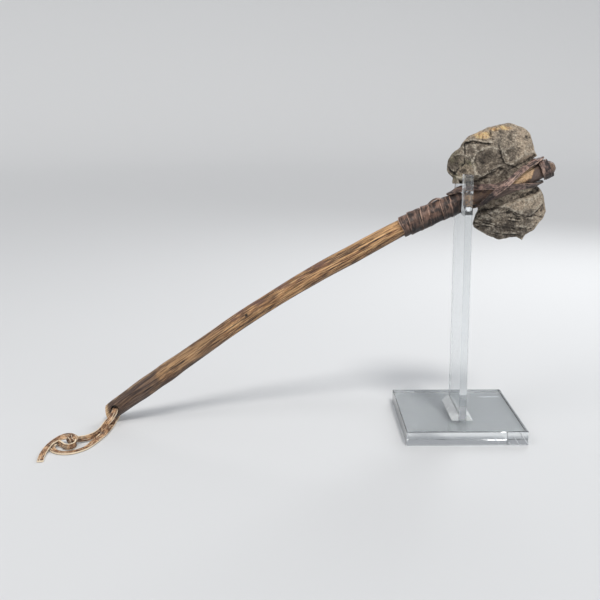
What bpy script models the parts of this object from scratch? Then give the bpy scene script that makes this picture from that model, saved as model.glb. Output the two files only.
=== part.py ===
"""A hafted stone axe resting on its clear acrylic cradle stand.

Units are metres, +Z is up. The origin is on the table under the middle of the stand's upright. The haft
climbs towards +X and lies near the plane Y = 0, and the side seen first faces -Y. Places on the axe
are given in haft coordinates: x is the world X of the haft's axis, t is the height above that axis
in the plane of the axe, and y is the depth.
"""

import math

import bmesh
import bpy
from mathutils import Matrix, Vector

# Clearances
CONTACT_GAP = 0.0003
SEAT_GAP = 0.0009

# Stand
BASE_WIDTH = 0.127
BASE_DEPTH = 0.134
BASE_SETBACK = 0.0035
BASE_HEIGHT = 0.015
BASE_BEVEL = 0.0008
PLATE_THICKNESS = 0.008
PLATE_DEPTH = 0.064
PLATE_TOP = 0.2786
PLATE_CORNER = 0.004
PLATE_BEVEL = 0.0004
NOTCH_WIDTH = 0.025
NOTCH_LIP_ROUND = 0.0025
FILLET_WIDTH = 0.007
FILLET_HEIGHT = 0.0068

# Haft: world X and Z of its axis from the butt to the tip, and its radius there
AXE_YAW = math.radians(-1.4)
HAFT_AXIS = [
    (-0.393, 0.0050), (-0.379, 0.0153), (-0.331, 0.0498), (-0.287, 0.0815), (-0.2425, 0.1135),
    (-0.1985, 0.1427), (-0.1547, 0.1695), (-0.111, 0.1939), (-0.067, 0.2182), (-0.032, 0.2347),
    (-0.006, 0.2459), (0.0415, 0.2645), (0.0915, 0.2845), (0.102, 0.2887),
]
HAFT_RADIUS = [
    (-0.393, 0.0062), (-0.388, 0.0080), (-0.384, 0.0092), (-0.377, 0.0099), (-0.362, 0.0102),
    (-0.346, 0.0110), (-0.331, 0.0107), (-0.318, 0.0110), (-0.304, 0.0103), (-0.285, 0.0101),
    (-0.243, 0.0098), (-0.199, 0.0096), (-0.157, 0.0101), (-0.120, 0.0102), (-0.094, 0.0100),
    (-0.067, 0.0095), (-0.032, 0.0088), (0.0, 0.0084), (0.0415, 0.0082), (0.062, 0.0084),
    (0.078, 0.0086), (0.0948, 0.0079),
]
BUTT_X = -0.3868
BUTT_TILT = math.radians(-13.0)
TIP_X = 0.0948
FORK_START = 0.001
FORK_END = 0.080
FORK_SPREAD = 0.016
FORK_POWER = 1.25
PRONG_THINNING = 0.9
SPLIT_WIDTH = 0.001
THONG_HOLE_X = -0.3765
THONG_HOLE_RISE = 0.0008
THONG_HOLE_DIAMETER = 0.009
THONG_HOLE_SIDES = 24
HAFT_SIDES = 20
HAFT_STEP = 0.0136
BUTT_STEP = 0.0035
FORK_STEP = 0.0056
# The finer rings of the butt reach past the hole by this, and cutters reach past what they cut
BUTT_MARGIN = 0.006
CUT_MARGIN = 0.004
CUTTER_SIZE = 0.06

# Stone head: world X and Z of its outline in the plane of the axe, clockwise from the left notch
STONE_CENTRE = (0.041, 0.2720)
STONE_OUTLINE = [
    (-0.0128, 0.2665), (-0.0133, 0.2690), (-0.0128, 0.2725), (-0.0182, 0.2781), (-0.0195, 0.2808),
    (-0.0194, 0.2863), (-0.0185, 0.2918), (-0.0138, 0.2989), (-0.0073, 0.3044), (-0.0008, 0.3137),
    (0.0025, 0.3175), (0.0133, 0.3219), (0.0187, 0.3241), (0.0231, 0.3269), (0.0393, 0.3301),
    (0.0448, 0.3312), (0.0480, 0.3308), (0.0512, 0.3293), (0.0610, 0.3260), (0.0675, 0.3204),
    (0.0707, 0.3116), (0.0735, 0.3024), (0.0766, 0.2966), (0.0720, 0.2933), (0.0690, 0.2905),
    (0.0688, 0.2868), (0.0698, 0.2800), (0.0718, 0.2718), (0.0738, 0.2668), (0.0800, 0.2628),
    (0.0834, 0.2583), (0.0858, 0.2517), (0.0884, 0.2365), (0.0858, 0.2299), (0.0815, 0.2245),
    (0.0772, 0.2168), (0.0675, 0.2108), (0.0640, 0.2053), (0.0577, 0.2091), (0.0491, 0.2079),
    (0.0383, 0.2057), (0.0285, 0.2095), (0.0177, 0.2154), (0.0111, 0.2187), (0.0101, 0.2230),
    (0.0130, 0.2330), (0.0152, 0.2375), (0.0150, 0.2420), (0.0112, 0.2465), (0.0076, 0.2505),
    (0.0076, 0.2590), (-0.0030, 0.2664),
]
STONE_HALF = 0.0182
STONE_RIM_HALF = 0.0012
STONE_RINGS = 9
STONE_WEDGE = math.radians(8.0)
# The groove for the haft runs round the stone: its half height past the haft, and how fast it fades
GROOVE_MARGIN = 0.0078
GROOVE_SLOPE = 0.9
# Between the lips of the stand the stone stays thin enough to pass
LIP_GAP = 0.0010
LIP_MARGIN = 0.0015

# Flake scars: world X, Z, half thickness there, radius of the hollow, slopes of it towards +X and +Z
FRONT_FLAKES = [
    (0.0210, 0.2940, 0.0102, 0.040, 0.03, 0.00),
    (-0.0095, 0.2874, 0.0040, 0.060, 0.35, 0.00),
    (0.0156, 0.3170, 0.0052, 0.300, 0.10, -0.45),
    (0.0580, 0.3050, 0.0118, 0.200, -0.14, -0.12),
    (0.0702, 0.3070, 0.0042, 0.090, -0.75, 0.00),
    (0.0310, 0.2776, 0.0128, 0.060, 0.00, 0.10),
    (0.0528, 0.2470, 0.0148, 0.250, -0.05, 0.05),
    (0.0473, 0.2230, 0.0080, 0.070, 0.00, 0.28),
    (0.0855, 0.2360, 0.0034, 0.090, -0.70, 0.00),
    (0.0528, 0.2077, 0.0020, 0.060, 0.00, 0.80),
]
BACK_FLAKES = [
    (0.0500, 0.2980, 0.0108, 0.050, -0.04, 0.00),
    (-0.0060, 0.2930, 0.0040, 0.070, 0.38, -0.08),
    (0.0220, 0.3160, 0.0060, 0.120, 0.05, -0.50),
    (0.0680, 0.3140, 0.0046, 0.080, -0.45, -0.35),
    (0.0230, 0.2860, 0.0118, 0.055, 0.08, 0.05),
    (0.0300, 0.2300, 0.0092, 0.060, 0.06, 0.15),
    (0.0640, 0.2350, 0.0104, 0.080, -0.10, 0.12),
    (0.0800, 0.2480, 0.0052, 0.070, -0.60, 0.00),
    (0.0500, 0.2100, 0.0026, 0.050, 0.00, 0.75),
]

# Collar binding: its ends, its outer radius along the haft, and the turns of its strip
COLLAR_START = -0.0655
COLLAR_END = 0.0004
COLLAR_RADIUS = [
    (-0.0655, 0.0104), (-0.060, 0.0109), (-0.050, 0.0118), (-0.038, 0.0117), (-0.026, 0.0112),
    (-0.014, 0.0113), (-0.004, 0.0114), (0.0004, 0.0112),
]
COLLAR_PITCH = 0.0105
COLLAR_LAP = 0.0009
COLLAR_SIDES = 20
COLLAR_STEP = 0.0036

# Lashing straps round the head: haft x, height t over the axis, distance out in front of the haft's
# middle or of the middle of its prong (0 where the strap crosses over to the back), and the angle
# that its face is turned up from the front
STRAP_WIDTH = 0.0070
STRAP_THICKNESS = 0.0017
RISING_STRAP = [
    (0.0064, -0.0102, 0.0, -90.0), (0.0106, -0.0099, 0.0040, -66.0), (0.0158, -0.0070, 0.0082, -38.0),
    (0.0220, -0.0033, 0.0104, -14.0), (0.0285, 0.0000, 0.0117, 2.0), (0.0362, 0.0031, 0.0124, 16.0),
    (0.0430, 0.0056, 0.0120, 26.0), (0.0493, 0.0080, 0.0109, 34.0), (0.0571, 0.0103, 0.0092, 38.0),
    (0.0651, 0.0118, 0.0080, 40.0), (0.0728, 0.0124, 0.0072, 45.0), (0.0784, 0.0127, 0.0060, 57.0),
    (0.0826, 0.0128, 0.0036, 75.0), (0.0850, 0.0128, 0.0, 90.0),
]
FALLING_STRAP = [
    (-0.0102, 0.0132, 0.0, 90.0), (-0.0070, 0.0132, 0.0046, 76.0), (-0.0018, 0.0136, 0.0056, 60.0),
    (0.0050, 0.0130, 0.0056, 52.0), (0.0090, 0.0122, 0.0051, 44.0), (0.0133, 0.0112, 0.0062, 36.0),
    (0.0217, 0.0087, 0.0074, 28.0), (0.0301, 0.0059, 0.0084, 20.0), (0.0384, 0.0026, 0.0097, 8.0),
    (0.0460, -0.0006, 0.0100, -4.0), (0.0540, -0.0038, 0.0098, -18.0), (0.0630, -0.0074, 0.0088, -36.0),
    (0.0700, -0.0102, 0.0068, -56.0), (0.0750, -0.0110, 0.0040, -76.0), (0.0764, -0.0108, 0.0, -90.0),
]
STRAP_STEPS = 3

# Tip binding
TIP_BINDING_START = 0.0800
TIP_BINDING_END = 0.0905
TIP_BINDING_THICKNESS = 0.0022
TIP_BINDING_TAPER = 0.0004
TIP_BINDING_STEP = 0.00175
TIP_GROOVE_DEPTH = 0.0006
TIP_GROOVE_HALF = 0.0014

# Wrist thong: world places of the strip's middle and the way its face looks there
THONG_WIDTH = 0.0070
THONG_THICKNESS = 0.0018
THONG_LOOP = [
    ((-0.4085, -0.0550, 0.0055), (0.40, -0.85, 0.0)),
    ((-0.3990, -0.0500, 0.0048), (0.35, -0.90, 0.1)),
    ((-0.3918, -0.0420, 0.0048), (0.65, -0.70, 0.2)),
    ((-0.3876, -0.0300, 0.0050), (0.85, -0.40, 0.3)),
    ((-0.3850, -0.0150, 0.0064), (0.70, -0.60, 0.4)),
    ((-0.3806, -0.0068, 0.0100), (0.10, -0.95, 0.4)),
    ((-0.3773, -0.0034, 0.0150), (0.00, -0.65, 0.8)),
    ((-0.3770, 0.0030, 0.0172), (0.00, 0.00, 1.0)),
    ((-0.3770, 0.0160, 0.0172), (0.00, 0.00, 1.0)),
    ((-0.3772, 0.0226, 0.0152), (0.00, 0.65, 0.8)),
    ((-0.3776, 0.0246, 0.0088), (0.00, 1.00, 0.0)),
    ((-0.3784, 0.0222, 0.0036), (0.00, 0.75, -0.7)),
    ((-0.3792, 0.0150, 0.0013), (0.00, 0.10, -1.0)),
    ((-0.3802, 0.0030, 0.0011), (0.00, 0.00, -1.0)),
    ((-0.3806, -0.0090, 0.0018), (-0.20, 0.10, -1.0)),
    ((-0.3815, -0.0220, 0.0030), (-0.50, 0.30, -0.8)),
    ((-0.3840, -0.0360, 0.0028), (-0.45, 0.30, -0.8)),
    ((-0.3884, -0.0507, 0.0021), (-0.20, 0.20, -1.0)),
    ((-0.3935, -0.0646, 0.0012), (0.00, 0.00, -1.0)),
    ((-0.3996, -0.0735, 0.0012), (0.00, 0.00, -1.0)),
    ((-0.4082, -0.0795, 0.0012), (0.00, 0.00, -1.0)),
    ((-0.4180, -0.0795, 0.0012), (0.00, 0.00, -1.0)),
    ((-0.4262, -0.0740, 0.0012), (0.00, 0.00, -1.0)),
    ((-0.4295, -0.0660, 0.0022), (0.30, 0.00, -0.9)),
    ((-0.4262, -0.0605, 0.0038), (0.45, 0.65, -0.5)),
    ((-0.4210, -0.0640, 0.0042), (0.65, 0.70, 0.0)),
    ((-0.4160, -0.0700, 0.0042), (0.45, 0.85, 0.0)),
    ((-0.4097, -0.0712, 0.0042), (-0.10, 1.00, 0.0)),
    ((-0.4060, -0.0660, 0.0046), (-0.85, 0.40, 0.0)),
    ((-0.4070, -0.0590, 0.0052), (-0.95, 0.00, 0.0)),
]
THONG_TAIL = [
    ((-0.4068, -0.0572, 0.0076), (0.60, -0.50, 0.6)),
    ((-0.4115, -0.0560, 0.0092), (0.10, -0.70, 0.7)),
    ((-0.4180, -0.0560, 0.0092), (-0.10, -0.65, 0.7)),
    ((-0.4250, -0.0585, 0.0076), (-0.30, -0.50, 0.8)),
    ((-0.4306, -0.0650, 0.0056), (-0.30, -0.30, 0.9)),
    ((-0.4335, -0.0740, 0.0036), (-0.15, -0.20, 1.0)),
    ((-0.4346, -0.0860, 0.0018), (0.00, -0.10, 1.0)),
    ((-0.4330, -0.1010, 0.0011), (0.00, 0.00, 1.0)),
]
THONG_STEPS = 2
KNOT_CENTRE = (-0.4105, -0.0580, 0.0068)
KNOT_HALF = (0.0070, 0.0056, 0.0056)
KNOT_SEGMENTS = 14
KNOT_ROWS = 8
KNOT_AXIS_TURN = math.radians(22.0)


def clear_scene():
    for obj in list(bpy.data.objects):
        bpy.data.objects.remove(obj, do_unlink=True)


def collection_named(name):
    made = bpy.data.collections.new(name)
    bpy.context.scene.collection.children.link(made)
    return made


def material(name, colour, roughness, alpha=1.0):
    made = bpy.data.materials.new(name)
    made.use_nodes = True
    shader = made.node_tree.nodes["Principled BSDF"]
    shader.inputs["Base Color"].default_value = (*colour, 1.0)
    shader.inputs["Roughness"].default_value = roughness
    shader.inputs["Metallic"].default_value = 0.0
    shader.inputs["Alpha"].default_value = alpha
    return made


def place(obj, home, surface):
    """Keeps the object in one collection only, with its one material."""
    for used in list(obj.users_collection):
        used.objects.unlink(obj)
    home.objects.link(obj)
    obj.data.materials.clear()
    obj.data.materials.append(surface)
    return obj


def as_cutter(obj, cutters):
    for used in list(obj.users_collection):
        used.objects.unlink(obj)
    cutters.objects.link(obj)
    obj.hide_render = True
    obj.display_type = "WIRE"
    return obj


def difference(obj, cutter):
    cut = obj.modifiers.new("Cut " + cutter.name, "BOOLEAN")
    cut.operation = "DIFFERENCE"
    cut.object = cutter


def union(obj, other):
    join = obj.modifiers.new("Join " + other.name, "BOOLEAN")
    join.operation = "UNION"
    join.object = other


def hermite(table, x):
    """A smooth value at x through a table of (x, value), with straight run-outs past its ends."""
    last = len(table) - 2
    k = next((i for i in range(last) if x < table[i + 1][0]), last)

    def slope(i):
        low = max(i - 1, 0)
        high = min(i + 1, len(table) - 1)
        return (table[high][1] - table[low][1]) / (table[high][0] - table[low][0])

    (x0, v0), (x1, v1) = table[k], table[k + 1]
    span = x1 - x0
    u = min(max((x - x0) / span, 0.0), 1.0)
    smooth = (
        v0 * (1 + 2 * u) * (1 - u) ** 2
        + slope(k) * span * u * (1 - u) ** 2
        + v1 * u * u * (3 - 2 * u)
        - slope(k + 1) * span * u * u * (1 - u)
    )
    if x < x0:
        return smooth + slope(k) * (x - x0)
    if x > x1:
        return smooth + slope(k + 1) * (x - x1)
    return smooth


def axis_height(x):
    return hermite(HAFT_AXIS, x)


def axis_angle(x):
    reach = 0.001
    return math.atan2(axis_height(x + reach) - axis_height(x - reach), 2 * reach)


def yawed(point):
    return Matrix.Rotation(AXE_YAW, 3, "Z") @ Vector(point)


def haft_point(x, t, y):
    """World place of haft coordinates: t stands square to the axis in the plane of the axe."""
    angle = axis_angle(x)
    return yawed((x - t * math.sin(angle), y, axis_height(x) + t * math.cos(angle)))


def height_over_axis(x, z):
    """How far a point of the axe's plane is above the haft's axis, and the x where it meets the axis."""
    foot = x
    for _ in range(3):
        foot = x + (z - axis_height(foot)) * math.tan(axis_angle(foot)) * math.cos(axis_angle(foot)) ** 2
    return (z - axis_height(foot)) * math.cos(axis_angle(foot)) - (x - foot) * math.sin(axis_angle(foot)), foot


def haft_radius(x):
    return hermite(HAFT_RADIUS, x)


def fork_half(x):
    """Half the space between the two prongs."""
    u = (x - FORK_START) / (FORK_END - FORK_START)
    if u <= 0.0 or u >= 1.0:
        return 0.0
    return FORK_SPREAD * math.sin(math.pi * u) ** FORK_POWER


def prong_depth(x):
    u = min(max((x - FORK_START) / (FORK_END - FORK_START), 0.0), 1.0)
    return haft_radius(x) * (1.0 - (1.0 - PRONG_THINNING) * math.sin(math.pi * u * 0.5))


def girth(x, angle, offset):
    """A place round the haft, offset from its skin, and the way out. Angle 0 is the front, 90 the top."""
    turn = math.radians(angle)
    side = math.copysign(fork_half(x), math.cos(turn)) if abs(math.cos(turn)) > 1e-6 else 0.0
    t = (haft_radius(x) + offset) * math.sin(turn)
    y = -(side + (prong_depth(x) + offset) * math.cos(turn))
    return t, y


def loft(name, rings, close_ends=True, close_round=False):
    """A closed mesh over rings of points that all have the same count."""
    mesh = bmesh.new()
    rows = [[mesh.verts.new(point) for point in ring] for ring in rings]
    count = len(rows[0])
    pairs = list(zip(rows, rows[1:]))
    if close_round:
        pairs.append((rows[-1], rows[0]))
    for low, high in pairs:
        for k in range(count):
            mesh.faces.new((low[k], low[(k + 1) % count], high[(k + 1) % count], high[k]))
    if close_ends and not close_round:
        mesh.faces.new(rows[0])
        mesh.faces.new(rows[-1])
    bmesh.ops.recalc_face_normals(mesh, faces=mesh.faces)
    return finish_mesh(name, mesh)


def finish_mesh(name, mesh):
    data = bpy.data.meshes.new(name)
    mesh.to_mesh(data)
    mesh.free()
    obj = bpy.data.objects.new(name, data)
    bpy.context.scene.collection.objects.link(obj)
    return obj


def smooth_shade(obj, angle=35.0):
    obj.data.shade_smooth()
    obj.data.set_sharp_from_angle(angle=math.radians(angle))


def steps_between(start, end, step):
    count = max(1, math.ceil((end - start) / step))
    return [start + (end - start) * k / count for k in range(count + 1)]


def box(name, size, centre):
    bpy.ops.mesh.primitive_cube_add(size=1.0, location=centre)
    obj = bpy.context.object
    obj.name = name
    obj.scale = size
    bpy.ops.object.transform_apply(location=False, rotation=False, scale=True)
    return obj


def bevel(obj, width, segments=2, angle=40.0):
    edge = obj.modifiers.new("Bevel", "BEVEL")
    edge.width = width
    edge.segments = segments
    edge.limit_method = "ANGLE"
    edge.angle_limit = math.radians(angle)


def flat_outline(name, points, thickness, turn):
    """A plate: a closed 2D outline, thickened evenly about its own plane, as a welded mesh."""
    curve = bpy.data.curves.new(name, "CURVE")
    curve.dimensions = "2D"
    curve.fill_mode = "BOTH"
    curve.extrude = thickness / 2
    line = curve.splines.new("POLY")
    line.points.add(len(points) - 1)
    for knot, (u, v) in zip(line.points, points):
        knot.co = (u, v, 0.0, 1.0)
    line.use_cyclic_u = True
    guide = bpy.data.objects.new(name + "_outline", curve)
    bpy.context.scene.collection.objects.link(guide)
    guide.matrix_world = turn
    graph = bpy.context.evaluated_depsgraph_get()
    data = bpy.data.meshes.new_from_object(guide.evaluated_get(graph))
    data.name = name
    mesh = bmesh.new()
    mesh.from_mesh(data)
    bmesh.ops.remove_doubles(mesh, verts=mesh.verts, dist=1e-6)
    mesh.to_mesh(data)
    mesh.free()
    obj = bpy.data.objects.new(name, data)
    obj.matrix_world = turn
    bpy.context.scene.collection.objects.link(obj)
    bpy.data.objects.remove(guide, do_unlink=True)
    return obj


def arc(centre, radius, start, end, count):
    turns = [math.radians(start + (end - start) * k / count) for k in range(count + 1)]
    return [(centre[0] + radius * math.cos(a), centre[1] + radius * math.sin(a)) for a in turns]


def collar_radius(x):
    return hermite(COLLAR_RADIUS, x)


def notch_floor():
    """Height of the notch's bottom, just under the lowest part of the collar that lies in it."""
    x = -PLATE_THICKNESS / 2
    slope = axis_angle(x)
    return axis_height(x) - (collar_radius(x) + COLLAR_LAP / 2) / math.cos(slope) - CONTACT_GAP


def plate_outline():
    """The upright's outline in depth and height, with the U notch that cradles the haft."""
    half = PLATE_DEPTH / 2
    foot = BASE_HEIGHT + CONTACT_GAP
    reach = NOTCH_WIDTH / 2
    notch_centre = notch_floor() + reach
    points = [(-half, foot), (half, foot)]
    points += arc((half - PLATE_CORNER, PLATE_TOP - PLATE_CORNER), PLATE_CORNER, 0, 90, 5)
    points += arc((reach + NOTCH_LIP_ROUND, PLATE_TOP - NOTCH_LIP_ROUND), NOTCH_LIP_ROUND, 90, 180, 4)
    points += arc((0.0, notch_centre), reach, 0, -180, 16)
    points += arc((-reach - NOTCH_LIP_ROUND, PLATE_TOP - NOTCH_LIP_ROUND), NOTCH_LIP_ROUND, 0, 90, 4)
    points += arc((-half + PLATE_CORNER, PLATE_TOP - PLATE_CORNER), PLATE_CORNER, 90, 180, 5)
    return points


def make_stand(home, acrylic):
    base = box(
        "stand_base", (BASE_WIDTH, BASE_DEPTH, BASE_HEIGHT), (0.0, BASE_SETBACK, BASE_HEIGHT / 2)
    )
    bevel(base, BASE_BEVEL)
    place(base, home, acrylic)
    # Outline axes: depth along world Y, height along world Z, thickness along world X
    upright_turn = Matrix(((0, 0, 1, 0), (1, 0, 0, 0), (0, 1, 0, 0), (0, 0, 0, 1)))
    plate = flat_outline("stand_upright", plate_outline(), PLATE_THICKNESS, upright_turn)
    bevel(plate, PLATE_BEVEL, segments=1)
    place(plate, home, acrylic)
    # Outline axes: across along world X, height along world Z, length along world -Y
    strip_turn = Matrix(((1, 0, 0, 0), (0, 0, -1, 0), (0, 1, 0, 0), (0, 0, 0, 1)))
    foot = BASE_HEIGHT + CONTACT_GAP
    for side, name in ((-1, "foot_fillet_left"), (1, "foot_fillet_right")):
        wall = side * (PLATE_THICKNESS / 2 + CONTACT_GAP)
        corner = [(wall, foot), (wall + side * FILLET_WIDTH, foot), (wall, foot + FILLET_HEIGHT)]
        if side < 0:
            corner.reverse()
        strip = flat_outline(name, corner, PLATE_DEPTH, strip_turn)
        place(strip, home, acrylic)


def haft_stations():
    start = HAFT_AXIS[0][0]
    butt = steps_between(start, THONG_HOLE_X + BUTT_MARGIN, BUTT_STEP)
    shaft = steps_between(butt[-1], FORK_START, HAFT_STEP)[1:]
    fork = steps_between(FORK_START, FORK_END, FORK_STEP)[1:]
    tip = steps_between(FORK_END, TIP_X, FORK_STEP)[1:]
    return butt + shaft + fork + tip


def haft_ring(x, offset=0.0, sides=HAFT_SIDES):
    ring = []
    for k in range(sides):
        t, y = girth(x, 360.0 * (k + 0.5) / sides, offset)
        ring.append(haft_point(x, t, y))
    return ring


def make_haft(home, cutters, wood):
    haft = loft("haft", [haft_ring(x) for x in haft_stations()])
    reach = 2 * max(radius for _, radius in HAFT_RADIUS)
    rings = []
    for x in steps_between(FORK_START, TIP_X + CUT_MARGIN, FORK_STEP):
        half = max(fork_half(x), SPLIT_WIDTH / 2)
        corners = ((-reach, -half), (-reach, half), (reach, half), (reach, -half))
        rings.append([haft_point(x, t, y) for t, y in corners])
    difference(haft, as_cutter(loft("haft_split", rings), cutters))
    bpy.ops.mesh.primitive_cylinder_add(
        vertices=THONG_HOLE_SIDES,
        radius=THONG_HOLE_DIAMETER / 2,
        depth=CUTTER_SIZE,
        location=haft_point(THONG_HOLE_X, THONG_HOLE_RISE, 0.0),
        rotation=(math.pi / 2, 0.0, AXE_YAW),
    )
    bore = bpy.context.object
    bore.name = "thong_hole"
    difference(haft, as_cutter(bore, cutters))
    saw = box("butt_cut", (CUTTER_SIZE, CUTTER_SIZE, CUTTER_SIZE), (0.0, 0.0, 0.0))
    face = yawed((BUTT_X, 0.0, axis_height(BUTT_X)))
    swing = Matrix.Rotation(AXE_YAW, 4, "Z") @ Matrix.Rotation(BUTT_TILT, 4, "Y")
    saw.matrix_world = Matrix.Translation(face) @ swing @ Matrix.Translation((-CUTTER_SIZE / 2, 0.0, 0.0))
    difference(haft, as_cutter(saw, cutters))
    smooth_shade(haft)
    return place(haft, home, wood)


def outline_polar():
    """The stone's outline as angle and radius round its centre, with no gap wider than the wedge."""
    centre = Vector(STONE_CENTRE)
    spokes = []
    for point in STONE_OUTLINE:
        arm = Vector(point) - centre
        spokes.append((math.atan2(arm.y, arm.x) % math.tau, Vector(point)))
    spokes.sort(key=lambda spoke: spoke[0])
    filled = []
    for k, (angle, point) in enumerate(spokes):
        after, following = spokes[(k + 1) % len(spokes)]
        gap = (after - angle) % math.tau
        parts = max(1, math.ceil(gap / STONE_WEDGE))
        filled += [point.lerp(following, j / parts) for j in range(parts)]
    return [point - centre for point in filled]


def stone_half(x, z, share, flakes):
    """Half the stone's thickness at a place, where share runs from 0 at its centre to 1 at its rim."""
    half = STONE_RIM_HALF + (STONE_HALF - STONE_RIM_HALF) * (1.0 - share**2.2) ** 0.75
    for flake_x, flake_z, depth, radius, slope_x, slope_z in flakes:
        dx = x - flake_x
        dz = z - flake_z
        half = min(half, depth + slope_x * dx + slope_z * dz + (dx * dx + dz * dz) / (2 * radius))
    t, foot = height_over_axis(x, z)
    past = max(abs(t) - haft_radius(foot) - GROOVE_MARGIN, 0.0)
    if FORK_START < foot < FORK_END:
        half = min(half, fork_half(foot) - SEAT_GAP + GROOVE_SLOPE * past)
    beside = max(abs(x) - PLATE_THICKNESS / 2, z - PLATE_TOP) - LIP_MARGIN
    half = min(half, NOTCH_WIDTH / 2 - LIP_GAP + max(beside, 0.0))
    return max(half, STONE_RIM_HALF)


def make_stone(home, rock):
    arms = outline_polar()
    mesh = bmesh.new()
    centre = Vector(STONE_CENTRE)

    def vertex(place_2d, share, side, flakes):
        half = stone_half(place_2d.x, place_2d.y, share, flakes)
        return mesh.verts.new(yawed((place_2d.x, side * half, place_2d.y)))

    rims = []
    for side, flakes in ((-1, FRONT_FLAKES), (1, BACK_FLAKES)):
        inner = vertex(centre, 0.0, side, flakes)
        previous = None
        for ring in range(1, STONE_RINGS + 1):
            share = math.sin(0.5 * math.pi * ring / STONE_RINGS)
            row = [vertex(centre + arm * share, share, side, flakes) for arm in arms]
            for k in range(len(row)):
                after = (k + 1) % len(row)
                if previous is None:
                    mesh.faces.new((inner, row[k], row[after]))
                else:
                    mesh.faces.new((previous[k], row[k], row[after], previous[after]))
            previous = row
        rims.append(previous)
    for k in range(len(arms)):
        after = (k + 1) % len(arms)
        mesh.faces.new((rims[0][k], rims[0][after], rims[1][after], rims[1][k]))
    bmesh.ops.recalc_face_normals(mesh, faces=mesh.faces)
    stone = finish_mesh("stone_head", mesh)
    smooth_shade(stone, 22.0)
    return place(stone, home, rock)


def collar_outer(x, angle):
    """Outer radius of the wound strip: the edge of each turn laps over the turn nearer the butt."""
    along = (x - COLLAR_START) / COLLAR_PITCH + angle / 360.0
    lap = along - math.floor(along)
    return collar_radius(x) + COLLAR_LAP * (0.5 - lap)


def make_collar(home, hide):
    xs = steps_between(COLLAR_START, COLLAR_END, COLLAR_STEP)
    turns = [360.0 * (k + 0.5) / COLLAR_SIDES for k in range(COLLAR_SIDES)]

    def ring(x, outer):
        points = []
        for turn in turns:
            radius = collar_outer(x, turn) if outer else haft_radius(x) + CONTACT_GAP
            reach = math.radians(turn)
            points.append(haft_point(x, radius * math.sin(reach), -radius * math.cos(reach)))
        return points

    rings = [ring(x, True) for x in xs] + [ring(x, False) for x in reversed(xs)]
    collar = loft("collar_binding", rings, close_round=True)
    smooth_shade(collar, 30.0)
    return place(collar, home, hide)


def catmull(points, closed, steps):
    """A smooth line of vectors through the given ones."""
    count = len(points)
    spans = count if closed else count - 1
    line = []

    def at(k):
        return points[k % count] if closed else points[min(max(k, 0), count - 1)]

    for k in range(spans):
        a, b, c, d = at(k - 1), at(k), at(k + 1), at(k + 2)
        for j in range(steps):
            u = j / steps
            line.append(
                0.5 * (2 * b + (c - a) * u + (2 * a - 5 * b + 4 * c - d) * u**2
                       + (3 * b - a - 3 * c + d) * u**3)
            )
    if not closed:
        line.append(points[-1].copy())
    return line


def ribbon(name, stations, width, thickness, closed, steps):
    """A flat strip along smoothed stations of (place, way its face looks)."""
    middles = catmull([Vector(place_3d) for place_3d, _ in stations], closed, steps)
    faces = catmull([Vector(face).normalized() for _, face in stations], closed, steps)
    rings = []
    for k, middle in enumerate(middles):
        before = middles[k - 1] if closed or k > 0 else middle
        after = middles[(k + 1) % len(middles)] if closed or k + 1 < len(middles) else middle
        along = (after - before).normalized()
        across = along.cross(faces[k]).normalized() * (width / 2)
        out = across.cross(along).normalized() * (thickness / 2)
        rings.append([middle - across - out, middle + across - out, middle + across + out,
                      middle - across + out])
    return loft(name, rings, close_round=closed)


def strap_stations(route):
    """The strap's front, then its back as the mirror image, so that it closes into a ring."""
    front = []
    for x, t, out, angle in route:
        y = -(fork_half(x) + out) if out else 0.0
        front.append((x, t, y, math.radians(angle)))
    back = [(x, t, -y, math.pi - turn) for x, t, y, turn in reversed(front[1:-1])]
    stations = []
    for x, t, y, turn in front + back:
        tilt = axis_angle(x)
        face = (-math.sin(turn) * math.sin(tilt), -math.cos(turn), math.sin(turn) * math.cos(tilt))
        stations.append((haft_point(x, t, y), yawed(face)))
    return stations


def make_straps(home, hide):
    for name, route in (("strap_rising", RISING_STRAP), ("strap_falling", FALLING_STRAP)):
        strap = ribbon(name, strap_stations(route), STRAP_WIDTH, STRAP_THICKNESS, True, STRAP_STEPS)
        smooth_shade(strap)
        place(strap, home, hide)


def make_tip_binding(home, hide):
    xs = steps_between(TIP_BINDING_START, TIP_BINDING_END, TIP_BINDING_STEP)
    middle = (TIP_BINDING_START + TIP_BINDING_END) / 2

    def outer(x):
        share = (x - TIP_BINDING_START) / (TIP_BINDING_END - TIP_BINDING_START)
        groove = TIP_GROOVE_DEPTH * max(0.0, 1.0 - abs(x - middle) / TIP_GROOVE_HALF)
        return CONTACT_GAP + TIP_BINDING_THICKNESS - TIP_BINDING_TAPER * share - groove

    rings = [haft_ring(x, outer(x)) for x in xs]
    rings += [haft_ring(x, CONTACT_GAP) for x in reversed(xs)]
    binding = loft("tip_binding", rings, close_round=True)
    smooth_shade(binding, 30.0)
    return place(binding, home, hide)


def make_thong(home, cutters, leather):
    thong = ribbon("wrist_thong", THONG_LOOP, THONG_WIDTH, THONG_THICKNESS, False, THONG_STEPS)
    tail = ribbon("thong_tail", THONG_TAIL, THONG_WIDTH, THONG_THICKNESS, False, THONG_STEPS)
    union(thong, as_cutter(tail, cutters))
    bpy.ops.mesh.primitive_uv_sphere_add(
        segments=KNOT_SEGMENTS,
        ring_count=KNOT_ROWS,
        radius=1.0,
        location=KNOT_CENTRE,
        rotation=(0.0, 0.0, KNOT_AXIS_TURN),
    )
    knot = bpy.context.object
    knot.name = "thong_knot"
    knot.scale = KNOT_HALF
    union(thong, as_cutter(knot, cutters))
    smooth_shade(thong)
    return place(thong, home, leather)


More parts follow.
